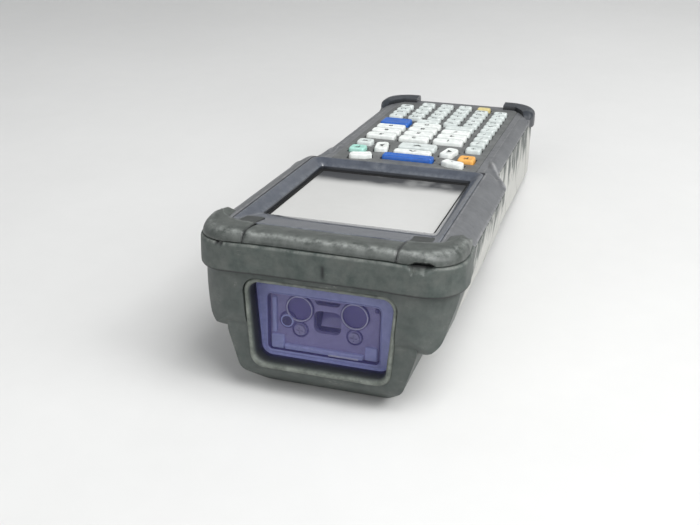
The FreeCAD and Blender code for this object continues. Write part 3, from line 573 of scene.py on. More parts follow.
@dataclass
class Casing:
    """Front housing, and the small screws under the grip."""
    wide: float = 41.5
    slim: float = 35.6
    front: float = -1.0
    rear: float = 215.0
    front_corner: float = 15.0
    rear_corner: float = 12.0
    skin_front: float = 2.0
    waist: tuple[float, float] = (86.0, 107.0)
    step: tuple[float, float] = (88.5, 95.5)
    seam: float = -2.5
    floor: float = -3.5
    display_deck: tuple[float, float] = (33.6, 2.4)
    keypad_deck: float = 31.0
    display_well: Triple = (33.3, 6.0, 89.6)
    keypad_well: Triple = (28.6, 95.6, 205.4)
    underside: float = -31.5
    screws: tuple[tuple[float, float], ...] = ((-19.0, 102.0), (19.0, 102.0), (-19.0, 84.0), (19.0, 84.0))

    def stations(self, count: int) -> Array:
        """Places along the terminal, closer together round the corners at both ends."""
        t = np.linspace(0, 1, 15)
        nose = self.skin_front + self.front_corner * (1 - np.cos(t * math.pi / 2))
        tail = self.rear - self.rear_corner * (1 - np.cos(t[::-1] * math.pi / 2))
        return np.concatenate([nose, np.linspace(nose[-1], tail[0], count)[1:-1], tail])

    def half_width(self, place: Array) -> Array:
        """Half the width at each place: straight sides, an S-shaped waist, and round corners.

        The waist follows a smooth step; a corner is the circle's half chord at the depth from its end.
        """
        half = self.wide + (self.slim - self.wide) * smooth_step(*self.waist, place)
        near = np.clip((self.front + self.front_corner - place) / self.front_corner, 0, 1)
        far = np.clip((place - self.rear + self.rear_corner) / self.rear_corner, 0, 1)
        half = half - self.front_corner * (1 - np.sqrt(1 - near ** 2))
        return half - self.rear_corner * (1 - np.sqrt(1 - far ** 2))

    @staticmethod
    def crease(x: Array, y: Array) -> Array:
        """Height of the fold that runs down the waist: a ridge with a hollow on its inner side.

        The ridge's place across goes from 28 to 41.6 as it comes forward from 120 to 83.
        """
        t = np.clip((y - 83.0) / 37.0, 0, 1)
        aside = np.abs(x) - (41.6 - 13.6 * t ** 1.25)
        ends = smooth_step(80, 90, y) * (1 - smooth_step(113, 122, y))
        dimple = np.exp(-((np.abs(x) - 30.6) ** 2 + (y - 112.5) ** 2) / 5.0)
        return ends * (0.75 * bell(aside, 0, 1.1) - 0.7 * bell(aside, -2.6, 1.6)) - 0.7 * dimple

    def front_housing(self) -> None:
        """The front housing as a height field: cheeks, decks, and wells for bezel and keypad.

        Each cross-section goes out over the well, the deck's flat, and the cheek, whose height falls to
        the seam with a slight bulge.
        """
        wells = (self.display_well, self.keypad_well)
        edges = [edge + step for well in wells for edge in well[1:] for step in (-0.05, 0.05)]
        places = np.unique(np.round(np.concatenate([self.stations(150), edges]), 4))[:, None]
        half = self.half_width(places)
        fall = smooth_step(*self.step, places)
        far = np.clip((places - self.rear + 11.5) / 8, 0, 1)
        deck = self.display_deck[0] + (self.keypad_deck - self.display_deck[0]) * fall
        deck = np.minimum(deck - 8 * (1 - np.sqrt(1 - far ** 2)), half - 2.0)
        well = np.minimum(wells[0][0] + (wells[1][0] - wells[0][0]) * fall, deck - 0.15)
        top = self.display_deck[1] * (1 - fall) - 2.4 * np.clip((places - self.rear + 3.5) / 3.5, 0, 1)
        inside = sum((places > near) & (places < beyond) for _, near, beyond in wells) > 0
        section: list[tuple[Array, Array, Array]] = []

        def add(across: Array, level: Array | float, rub_and_highlight: float) -> None:
            """Adds one line of points along the terminal."""
            section.append((across, level + 0 * places, rub_and_highlight + 0 * places))

        for t in np.linspace(0, 1, 7):
            add(well * t, np.where(inside, self.floor, top), 0.0)
        add(well + 0.01, top, 0.2)
        for t in (0.3, 0.94):
            add(well + (deck - well) * t, top, 0.2)
        for t in np.linspace(0.03, 1, 26):
            add(deck + (half - deck) * t, top + (self.seam - top) * t ** 1.2 + 0.8 * np.sin(t * math.pi),
                0.8 if t < 0.05 else 0.1 + 0.5 * (t > 0.93))
        add(half, self.seam - 0.25, 0.0)
        right, height, rubbed = (np.concatenate(part, axis=1) for part in zip(*section))
        fold = self.crease(right, places)[:, 9:-1]
        height[:, 9:-1] += fold
        # Painted highlight along the crease's ridge, put in through the rubbed wear.
        rubbed[:, 9:-1] += np.clip(fold * 1.4, 0, 1)
        across, level, rub_and_highlight = (np.concatenate([sign * part[:, ::-1], part[:, 1:]], axis=1)
                               for sign, part in ((-1, right), (1, height), (1, rubbed)))
        skin = Skin("front_housing_skin")
        skin.grid(np.stack([across, np.broadcast_to(places, across.shape), level], axis=-1),
                  wear_and_light=np.clip(rub_and_highlight, 0, 1))
        skin.fit(("casing_grey",), 30, "casing", "casing_grey", "front_housing")

    def case_screws(self) -> None:
        """Small round-headed screws under the grip: a dome profile turned about each screw's axis."""
        profile = [(2.0, 0.3), (2.0, -0.25), (1.7, -0.55), (0.9, -0.62), (0.8, -0.3), (0.01, -0.3)]
        skin = Skin("case_screws")
        for centre in self.screws:
            rings = [lift(circle(centre, radius, 24), self.underside + level) for radius, level in profile]
            index = skin.grid(np.stack(rings), closed=True, flip=True)
            skin.cap(index[0])
            skin.cap(index[-1], flip=True)
        skin.fit(("screw_steel",), 30, "casing", "screw_steel")


@dataclass
class Window:
    """Rubber rim of the scan window, and the surround and small fittings of the scan engine behind it."""
    top: float = -11.2
    low: float = -41.7
    top_half: float = 24.8
    low_half: float = 22.6
    front: float = -0.6
    glass_place: float = 4.4
    wide: float = 1.72
    face: float = 8.0
    lens: Triple = (9.0, -23.2, 4.0)
    screw: tuple[float, float] = (8.9, -30.4)
    sensor: tuple[float, float] = (-13.0, -27.7)

    def outline(self, inset: float, place: float) -> Array:
        """The rim's rounded trapezoid drawn in by an inset, standing at a place."""
        radius = max(4.6 - inset * 0.6, 1.2)
        return stand(rounded_loop(mirrored([
            (self.low_half - inset, self.low + inset * 1.15, radius),
            (self.top_half - inset, self.top - inset, radius)]), 10, 12), place)

    def rim(self) -> None:
        """The rim: a rounded bead carried round the trapezoid, with an inner wall back to the glass.

        Each stage is an inset, a place, how worn the rim is there, and how dark with painted shade where it
        tucks under the housing and down its inner wall to the glass.
        """
        stages = [(-0.25, 2.5, 0.0, 1.0), (-0.2, 0.75, 0.0, 0.9), (0.1, 0.15, 0.5, 0.0),
                  (0.35, -0.35, 0.9, 0.0), (0.7, self.front, 1.0, 0.0), (1.05, self.front + 0.05, 0.8, 0.0),
                  (1.4, -0.3, 0.7, 0.0), (1.6, 0.4, 0.3, 0.1), (1.68, 1.4, 0.0, 0.7),
                  (self.wide, 2.6, 0.0, 0.9), (self.wide, self.glass_place + 1.0, 0.0, 1.0)]
        loops = np.stack([self.outline(inset, place) for inset, place, _, _ in stages])
        wear_and_light, shade_and_mark_share = (np.repeat(np.array([stage[kind] for stage in stages])[:, None], loops.shape[1], axis=1)
                       for kind in (2, 3))
        loops = loops + (lumps(loops, 6.0, 11) * 0.05)[..., None] * np.array([0.6, 1.0, 0.6])
        skin = Skin("window_rim_bead")
        skin.grid(loops, closed=True, flip=True, wear_and_light=wear_and_light, shade_and_mark_share=shade_and_mark_share)
        skin.fit(("rim_rubber",), 60, "casing", "worn_rubber", "window_rim")

    def surround(self) -> None:
        """The engine's surround: a frame behind the glass, a dark channel of painted shade, and a sheet round
        the plate.

        Each loop is the rim's outline or a rounded rectangle, with as many points, so they join as one grid.
        """
        boxes = [((-20.0, 17.9, -38.75, -18.3, 2.2), 6.7), ((-19.8, 17.7, -38.6, -18.5, 1.9), 6.45),
                 ((-19.5, 17.4, -38.3, -18.9, 1.6), 6.9), ((-19.4, 17.3, -38.2, -19.0, 1.5), 8.6),
                 ((-18.9, 16.9, -37.9, -19.2, 0.8), 8.75), ((-18.8, 16.8, -37.8, -19.3, 0.7), 8.15),
                 ((-18.6, 16.6, -37.6, -19.4, 0.6), 8.05), ((-16.0, 16.0, -36.0, -19.8, 0.5), 8.05)]
        loops = [self.outline(1.76, 5.95), self.outline(1.95, 6.0), self.outline(2.1, 6.6)]
        loops += [stand(rounded_loop(box_corners(*sides), 10, 12), place) for sides, place in boxes]
        skin = Skin("engine_surround")
        index = skin.grid(np.stack(loops), closed=True, flip=True)
        skin.slots = [slot for slot in (0, 0, 0, 0, 0, 1, 1, 2, 2, 2) for _ in range(index.shape[1])]
        skin.fit(("engine_frame", "engine_shade", "engine_plastic"), 30, "casing", "engine_plastic")

    def block(self, skin: Skin, sides: tuple[float, ...], out: float, deep: float, radius: float = 0.4,
              slot: int = 0) -> None:
        """A small upright block with rounded corners and a bevelled face, towards the nose.

        Args:
            skin: the piece that it is added to.
            sides: its left, right, lower and upper sides.
            out: how far it stands out from the plate's face.
            deep: how far it reaches behind the face.
            radius: radius of its corners.
            slot: material index.
        """
        x0, x1, z0, z1 = sides
        front = self.face - out
        index = skin.grid(np.stack([
            stand(rounded_loop(box_corners(x0 + inset, x1 - inset, z0 + inset, z1 - inset,
                                           max(radius - inset, 0.1)), 5, 2), place)
            for inset, place in ((0.0, self.face + deep), (0.0, front + 0.25), (0.25, front))
        ]), closed=True, slot=slot, flip=True)
        skin.cap(index[-1], flip=True, slot=slot)
        skin.cap(index[0], slot=slot)

    def ring(self, skin: Skin, centre: tuple[float, float], profile: list[tuple[float, float]],
             slot: int = 0, closed_face: bool = False) -> None:
        """A turned ring or disc: (radius, place off the face) carried round an axis along the terminal."""
        rings = [stand(circle(centre, radius, 40), self.face + place) for radius, place in profile]
        index = skin.grid(np.stack(rings), closed=True, slot=slot, flip=True)
        if closed_face:
            skin.cap(index[-1], slot=slot, flip=True)

    def fittings(self) -> None:
        """Light bar, corner tabs, ledge, lens and screw rings and small sensors on the engine's plate."""
        apart, level, radius = self.lens
        skin = Skin("engine_fittings")
        for sides, out, deep, corner, slot in (
                ((-18.0, -16.6, -32.3, -20.3), 0.9, 0.4, 0.4, 0),
                ((-18.5, -14.2, -37.9, -33.1), 0.7, 0.4, 0.6, 0),
                ((12.5, 16.5, -37.5, -32.9), 0.7, 0.4, 0.6, 0),
                ((-13.9, 12.0, -37.6, -36.0), 1.2, 0.4, 0.4, 0),
                ((0.6, 10.6, -37.8, -37.1), 1.4, -0.9, 0.2, 1),
                ((15.3, 16.6, -21.2, -19.7), 0.5, 0.1, 0.2, 2)):
            self.block(skin, sides, out, deep, corner, slot)
        for sign in (-1, 1):
            centre = (sign * apart, level)
            # The engine_shade rings round the lenses, the screws and the sensor are painted shade.
            self.ring(skin, centre, [(radius + 0.7, 0.1), (radius + 0.62, -0.66), (radius + 0.25, -0.68)], 2)
            self.ring(skin, centre, [(radius + 0.34, -0.6), (radius + 0.26, -0.9), (radius + 0.02, -0.92),
                                     (radius - 0.08, -0.4)], 1)
            self.ring(skin, (sign * self.screw[0], self.screw[1]),
                      [(2.75, 0.1), (2.7, -0.3), (2.3, -0.35), (2.2, -0.1)], 2)
        self.ring(skin, self.sensor, [(2.9, 0.1), (2.85, -0.3), (2.1, -0.32)], 2)
        self.ring(skin, self.sensor, [(2.15, -0.2), (2.1, -1.0), (1.65, -1.05)])
        self.ring(skin, self.sensor, [(1.7, -1.0), (1.6, -0.85), (0.05, -0.8)], 3, True)
        skin.fit(("engine_frame", "lens_ring", "engine_shade", "engine_dark"), 35, "casing", "engine_plastic")


@dataclass
class Head:
    """Rubber band round the nose, and the roll and corner bumpers above it."""
    half: float = 42.6
    front: float = -2.85
    end: float = 23.0
    neck: float = 41.9
    corner: float = 14.2
    split: float = 23.6
    gap: float = 0.18
    top: float = 3.6
    back: float = 9.8
    round: float = 3.4
    inset: float = 0.7

    def path(self, inset: float, count: int = 641) -> Array:
        """Plan points (n, 2) from the left end of the head round the front to the right end."""
        loop = rounded_loop(mirrored([
            (23.0, self.front + inset, 60),
            (self.half - 1.2 - inset, self.front + 1.6 + inset, self.corner - inset),
            (self.half - inset, self.end - 8, 6), (self.neck - inset, self.end, 0.01)]), 24, 14)
        for sign in (1, -1):
            away = np.abs(loop[:, 0] + sign * (self.neck - inset)) + np.abs(loop[:, 1] - self.end)
            nearest = int(np.argmin(away))
            loop = np.roll(loop, -nearest, axis=0) if sign > 0 else loop[:nearest + 1]
        run = np.concatenate([[0], np.cumsum(np.linalg.norm(np.diff(loop, axis=0), axis=1))])
        steps = np.linspace(0, run[-1], count)
        return np.stack([np.interp(steps, run, loop[:, 0]), np.interp(steps, run, loop[:, 1])], axis=1)

    @staticmethod
    def outward(line: Array) -> Array:
        """Unit normals (n, 2) that point away from the head."""
        along = np.gradient(line, axis=0)
        along /= np.linalg.norm(along, axis=1, keepdims=True)
        return np.stack([along[:, 1], -along[:, 0]], axis=1)

    @staticmethod
    def seam_level(x: Array) -> Array:
        """Height of the upper seam: level in the middle, a little lower towards the sides."""
        return 0.2 - 1.3 * np.clip((np.abs(x) - 21.0) / 22.0, 0, 1)

    @staticmethod
    def band_low(x: Array) -> Array:
        """Height of the band's lower edge."""
        return -9.4 - 1.4 * np.clip((np.abs(x) - 21.0) / 22.0, 0, 1)

    @staticmethod
    def torn(points: Array) -> Array:
        """Depth of the torn hole at the seam on the right, from 0 to 1, with a ragged edge."""
        ragged = 1 + 0.35 * lumps(points, 2.2, 41)
        across = ((points[..., 0] - 30.8) / 3.6) ** 2
        up = ((points[..., 2] + 0.7) / 1.45) ** 2
        return np.exp(-np.clip((across + up) * ragged, 0, 20) ** 3)

    @staticmethod
    def uneven(points: Array, scale: float, seed: int) -> Array:
        """Points with slight lumps added to their height."""
        return points + (lumps(points, scale, seed) * 0.08)[..., None] * np.array([0, 0, 1.0])

    def band(self) -> None:
        """The band: a soft-edged strip carried round the head between its two seams.

        Each stage is how far it stands out and its share of the way down.
        """
        line = self.path(0.0)
        normal = self.outward(line)
        high, low = self.seam_level(line[:, 0]) - 0.12, self.band_low(line[:, 0])
        stages = [(-3.2, 0.0), (-0.9, 0.0), (-0.35, 0.012), (-0.1, 0.05)]
        stages += [(0.0, share) for share in np.linspace(0.1, 0.9, 17)]
        stages += [(-0.1, 0.95), (-0.35, 0.988), (-0.9, 1.0), (-3.2, 1.0)]
        strip = Strip("head_band_strip")
        # The rows at the band's top edge carry a painted highlight as full wear; the wear of the lowest rows
        # is chips.
        for out, down in stages:
            strip.add(line + normal * out, high + (low - high) * down,
                      1.0 if down in (0.012, 0.05) else 0.22 + 0.3 * (down > 0.93))
        points, wear_and_light, _ = strip.stacked()
        x, z = points[..., 0], points[..., 2]
        hole = self.torn(points)
        mark = bell(x, 1.8, 0.55) * smooth_step(-3.0, -4.4, z) * smooth_step(-8.6, -6.6, z)
        nicks = np.clip(lumps(points, 2.4, 43) - 0.7, 0, 1)
        nicks = nicks * smooth_step(-2.2, -0.6, z) * smooth_step(-26, -31, x)
        inward = -np.stack([normal[:, 0], normal[:, 1], 0 * normal[:, 0]], axis=1)[None]
        points = points + inward * (hole * 2.2 + nicks * 0.9 + mark * 0.4)[..., None]
        points = points + (lumps(points, 9.0, 21) * 0.10)[..., None] * inward
        # Painted shade on the band's underside, in the top of the torn hole under the roll, and in the nicks;
        # the mark in the middle is painted dark.
        under = smooth_step(0.925, 0.96, np.array([down for _, down in stages]))[:, None]
        hole_shade = hole * smooth_step(-1.8, -0.9, points[..., 2])
        strip.shut(points, np.clip(wear_and_light + hole * 0.9, 0, 1),
                   np.clip(hole_shade + nicks * 1.2 + mark * 0.9 + under, 0, 1))
        strip.fit(("band_rubber",), 40, "casing", "worn_rubber", "front_band")

    def roll(self) -> None:
        """The roll: a round-topped profile carried along the bowed front, falling towards the display.

        The profile is a quarter circle up from the seam, then a long fall of one half cosine.
        """
        line = self.path(self.inset)
        line = line[(np.abs(line[:, 0]) <= self.split) & (line[:, 1] < self.back)]
        line[0, 0], line[-1, 0] = -self.split, self.split
        seam = self.seam_level(line[:, 0])
        depth = self.back - line[:, 1]
        strip = Strip("nose_roll_pad")

        def add(share: float, level: Array | float, rub_and_highlight: float, shade_and_marks: float = 0.0) -> None:
            """Adds one line of the profile at a share of the roll's depth."""
            strip.add(np.column_stack([line[:, 0], line[:, 1] + depth * share]), level, rub_and_highlight, shade_and_marks)

        # The first rows, tucked behind the band, and the last rows, down the back to the display, are painted
        # shade.
        add(0.08, seam + 0.02, 0.0, 1.0)
        add(0.01, seam + 0.1, 0.0, 0.3)
        add(0.0, seam + 0.35, 0.15)
        # The wear round the quarter circle is partly rubbing and partly a painted highlight along the roll's
        # top front.
        for angle in np.linspace(0.1, math.pi / 2, 11):
            add(0.3 * (1 - math.cos(angle)), seam + 0.4 + (self.top - seam - 0.4) * math.sin(angle),
                0.15 + 0.85 * bell(angle, 1.0, 0.3))
        for t in np.linspace(0.08, 1, 10):
            add(0.3 + 0.7 * t, self.top - 1.25 * (1 - math.cos(t * math.pi / 2)), 0.12 + 0.1 * t)
        add(1.0, self.top - 1.6, 0.1, 0.7)
        add(1.0, -1.2, 0.0, 1.0)
        points, wear_and_light, shade_and_marks = strip.stacked()
        ends = smooth_step(self.split - 0.9, self.split, np.abs(points[..., 0]))
        points[..., 2] -= ends * 0.35 * (points[..., 2] > 0.8)
        # The ends are pulled down and painted with shade where they meet the bumpers.
        strip.shut(self.uneven(points, 10.0, 31), wear_and_light, np.clip(shade_and_marks + ends * 0.7, 0, 1))
        strip.fit(("roll_rubber",), 40, "casing", "worn_rubber", "nose_roll")

    def bumper(self, side: int, name: str, node: str) -> None:
        """A corner bumper: a ball-like lump round the corner, with a flat patch on its inner side.

        Columns go round the corner from the split to the tip; rows go up from the seam, over a quarter
        ellipse, and in along a straight line to the display, dipping to the patch by a smooth step.
        """
        line = self.path(self.inset)
        line = line[(line[:, 0] >= self.split + self.gap) & (line[:, 1] <= 21.9)]
        line[0, 0] = self.split + self.gap
        run = np.concatenate([[0], np.cumsum(np.linalg.norm(np.diff(line, axis=0), axis=1))])
        u = run / run[-1]
        normal = self.outward(line)
        seam = self.seam_level(line[:, 0])
        inner = np.stack([np.interp(u, [0, 0.5, 1], [24.1, 33.6, 41.1]),
                          np.interp(u, [0, 0.5, 1], [17.4, 18.9, 22.0])], axis=1)
        tip = 1 - smooth_step(0.8, 1.0, u)
        reach = (self.round + 1.8 * bell(u, 0.48, 0.22)) * (0.12 + 0.88 * tip)
        top = self.top - 2.0 * (1 - tip) - 0.5 * bell(u, 0.48, 0.25)
        shoulder = line - normal * reach[:, None]
        patch = 1 - smooth_step(0.44, 0.62, u)
        strip = Strip(name)
        # The first rows, tucked behind the band, and the last rows, down to the display, are painted shade;
        # the flat patch is painted darker.
        strip.add(line - normal * 0.8, seam + 0.02, 0.0, 1.0)
        strip.add(line - normal * 0.1, seam + 0.1, 0.0, 0.3)
        strip.add(line, seam + 0.35, 0.2)
        # The wear round the quarter ellipse is partly rubbing and partly a painted highlight.
        for angle in np.linspace(0.1, math.pi / 2, 11):
            strip.add(line - normal * (reach * (1 - math.cos(angle)))[:, None],
                      seam + 0.4 + (top - seam - 0.4) * math.sin(angle), 0.15 + 0.75 * bell(angle, 1.0, 0.3))
        for t in np.linspace(0.06, 1, 18):
            dip = smooth_step(0.42, 0.54, t) * patch
            slope = 0.9 * (1 - math.cos(t * math.pi / 2))
            strip.add(shoulder + (inner - shoulder) * t, top - slope - dip * (0.45 + 0.5 * t),
                      0.12 + 0.5 * (0.36 < t < 0.44), dip * 0.55)
        strip.add(inner, top - 1.9 - 0.5 * patch, 0.0, 0.8)
        strip.add(inner, np.minimum(top - 4.5, -1.0), 0.0, 1.0)
        points, wear_and_light, shade_and_marks = strip.stacked()
        ends = 1 - smooth_step(self.split + self.gap, self.split + 1.0, points[..., 0])
        points[..., 2] -= ends * 0.35 * (points[..., 2] > 0.8)
        points = points + (lumps(points + side * 100, 10.0, 33) * 0.08)[..., None] * np.array([0, 0, 1.0])
        hole = self.torn(points) * (side > 0)
        points[..., 1] += hole * 1.8
        points[..., 0] *= side
        # The torn hole and the ends by the roll are painted shade.
        strip.shut(points, wear_and_light, np.clip(shade_and_marks + hole * 0.8 + ends * 0.7, 0, 1), flip=side < 0)
        strip.fit(("roll_rubber",), 40, "casing", "worn_rubber", node)


@dataclass
class RearBumpers:
    """Low rubber caps over the corners of the keypad end."""
    half: float = 35.6
    rear: float = 215.0
    corner: float = 12.0
    out: float = 1.25
    tip: float = 190.0
    swell: tuple[float, float] = (193.0, 199.5)
    inner_end: float = 21.2
    top: float = 2.3

    def build(self, side: int, name: str, node: str) -> None:
        """One cap: columns go from the tip round the corner, rows go up the wall and over to the deck.

        The cap stands out from the casing by a smooth step of the place, so that it grows out of it; its
        edge is a quarter ellipse, and its top falls gently to the deck. The wall under it is casing.
        """
        angle = np.linspace(0, math.pi / 2, 44)
        line = np.concatenate([
            np.stack([np.full(36, self.half),
                      np.linspace(self.tip, self.rear - self.corner, 36)], axis=1)[:-1],
            np.array([self.half - self.corner, self.rear - self.corner])
            + self.corner * np.stack([np.cos(angle), np.sin(angle)], axis=1),
            [[(self.half - self.corner + self.inner_end) / 2, self.rear], [self.inner_end, self.rear]]])
        normal = Head.outward(line)
        grow = smooth_step(*self.swell, line[:, 1])
        wall = line + normal * 0.02
        line = wall + normal * (self.out * grow)[:, None]
        low = np.interp(wall[:, 1], [190, 199, 207], [-4.0, -7.6, -15.0])
        edge = np.interp(wall[:, 1], [190, 199, 215], [-3.2, -5.4, -6.6])
        level = self.top * grow + np.interp(line[:, 1], [190, 196], [-2.4, -0.6]) * (1 - grow)
        inner = np.stack([np.interp(line[:, 1], [190, 193, 203, 212, 215], [35.4, 33.4, 30.6, 27.0, 21.2]),
                          np.interp(line[:, 1], [190, 203, 212, 215], [190.0, 200.5, 206.4, 206.8])], axis=1)
        inner[line[:, 0] < self.half - self.corner] = [self.inner_end, 206.8]
        reach = 0.15 + 3.3 * grow
        rise = np.maximum(level - 0.8 * reach - edge - 0.4, 0.1)
        start = edge + 0.4 + rise
        shoulder = line - normal * reach[:, None]
        strip = Strip(name)
        # The rows tucked into the casing, the groove under the cap's edge and the inner edge at the deck are
        # painted shade.
        strip.add(wall - normal * 2.5, low, 0.0, 1.0)
        strip.add(wall - normal * 0.2, low, 0.0, 0.8)
        strip.add(wall, low + 0.3, 0.5)
        strip.add(wall, edge - 0.3, 0.1)
        strip.add(wall + (line - wall) * 0.1, edge - 0.1, 0.0, 1.0)
        strip.add(wall + (line - wall) * 0.8, edge + 0.1, 0.4)
        for t in (0.0, 0.5, 1.0):
            strip.add(line, edge + 0.4 + rise * t, 0.1)
        for angle in np.linspace(0.15, math.pi / 2, 10):
            strip.add(line - normal * (reach * (1 - math.cos(angle)))[:, None],
                      start + (level - start) * math.sin(angle), 0.2 + 0.6 * bell(angle, 0.9, 0.3))
        for t in (0.25, 0.5, 0.75, 0.95):
            strip.add(shoulder + (inner - shoulder) * t, level - 0.5 * t * grow, 0.1)
        strip.add(inner, level - 1.0 * grow - 0.1, 0.1, 0.6)
        strip.add(inner, np.minimum(level - 2.4, -1.2), 0.0, 1.0)
        points, wear_and_light, shade_and_mark_share = strip.stacked()
        points[..., 0] *= side
        strip.shut(points, wear_and_light, shade_and_mark_share, flip=side < 0)
        slots = np.zeros((len(points) - 1, len(line) - 1), dtype=int)
        slots[:, line[:-1, 1] < self.swell[0] + 0.8] = 2
        slots[:4] = 1
        strip.slots[:slots.size] = slots.reshape(-1).tolist()
        strip.fit(("dark_rubber", "casing_worn", "casing_grey"), 40, "casing", "dark_rubber", node)


@dataclass
class Display:
    """Bezel round the touch screen."""
    half: float = 33.15
    near: float = 10.0
    far: float = 89.45
    screen_half: float = 28.6
    screen: tuple[float, float] = (26.4, 85.4)
    rim: float = 0.9

    def bezel(self) -> None:
        """The bezel: rings from its outer edge down the slope to the screen opening.

        Each stage is its share of the slope, its inset on the rim, level, corner radius, wear, and painted
        shade where it goes down into the gaps at its outer edge and at the screen.
        """
        stages = [(0.0, 0.0, -1.4, 3.5, 0.0, 1.0), (0.0, 0.0, 1.9, 3.5, 0.2, 0.6),
                  (0.0, 0.15, 2.25, 3.4, 0.9, 0.0), (0.0, 0.45, 2.4, 3.2, 0.6, 0.0),
                  (0.0, self.rim, 2.36, 3.0, 0.2, 0.0),
                  (0.5, self.rim, 1.2, 2.2, 0.1, 0.0), (0.95, self.rim, 0.12, 1.1, 0.5, 0.0),
                  (1.0, self.rim, -0.15, 1.0, 0.0, 0.5), (1.0, self.rim, -1.4, 1.0, 0.0, 1.0)]
        loops, wear_and_light, shade_and_mark_share = [], [], []
        for share, inset, level, radius, rub_and_highlight, shade_and_marks in stages:
            half, low, high = self.half - inset, self.near + inset, self.far - inset
            half += (self.screen_half - half) * share
            low += (self.screen[0] - low) * share
            high += (self.screen[1] - high) * share
            loops.append(lift(rounded_loop(box_corners(-half, half, low, high, radius), 8, 24), level))
            wear_and_light.append(np.full(len(loops[-1]), rub_and_highlight))
            shade_and_mark_share.append(np.full(len(loops[-1]), shade_and_marks))
        points = np.stack(loops)
        scuff = bell(points[..., 0], -6.5, 2.0) * bell(points[..., 1], 87.6, 0.8)
        skin = Skin("display_bezel_frame")
        skin.grid(points, closed=True, wear_and_light=np.clip(np.stack(wear_and_light) + scuff, 0, 1), shade_and_mark_share=np.stack(shade_and_mark_share))
        skin.fit(("bezel_slate",), 30, "casing", "bezel_slate", "display_bezel")


class Mark(Enum):
    """An arrow head on a key, by its quarter turns for a reader at the keypad's end."""
    DOWN = 0
    LEFT = 1
    UP = 2
    RIGHT = 3


@dataclass(frozen=True)
class Key:
    """One moulded key cap with its mark."""
    node: str
    corners: list[Triple]
    finish: str = "key_white"
    mark: str | Mark = ""


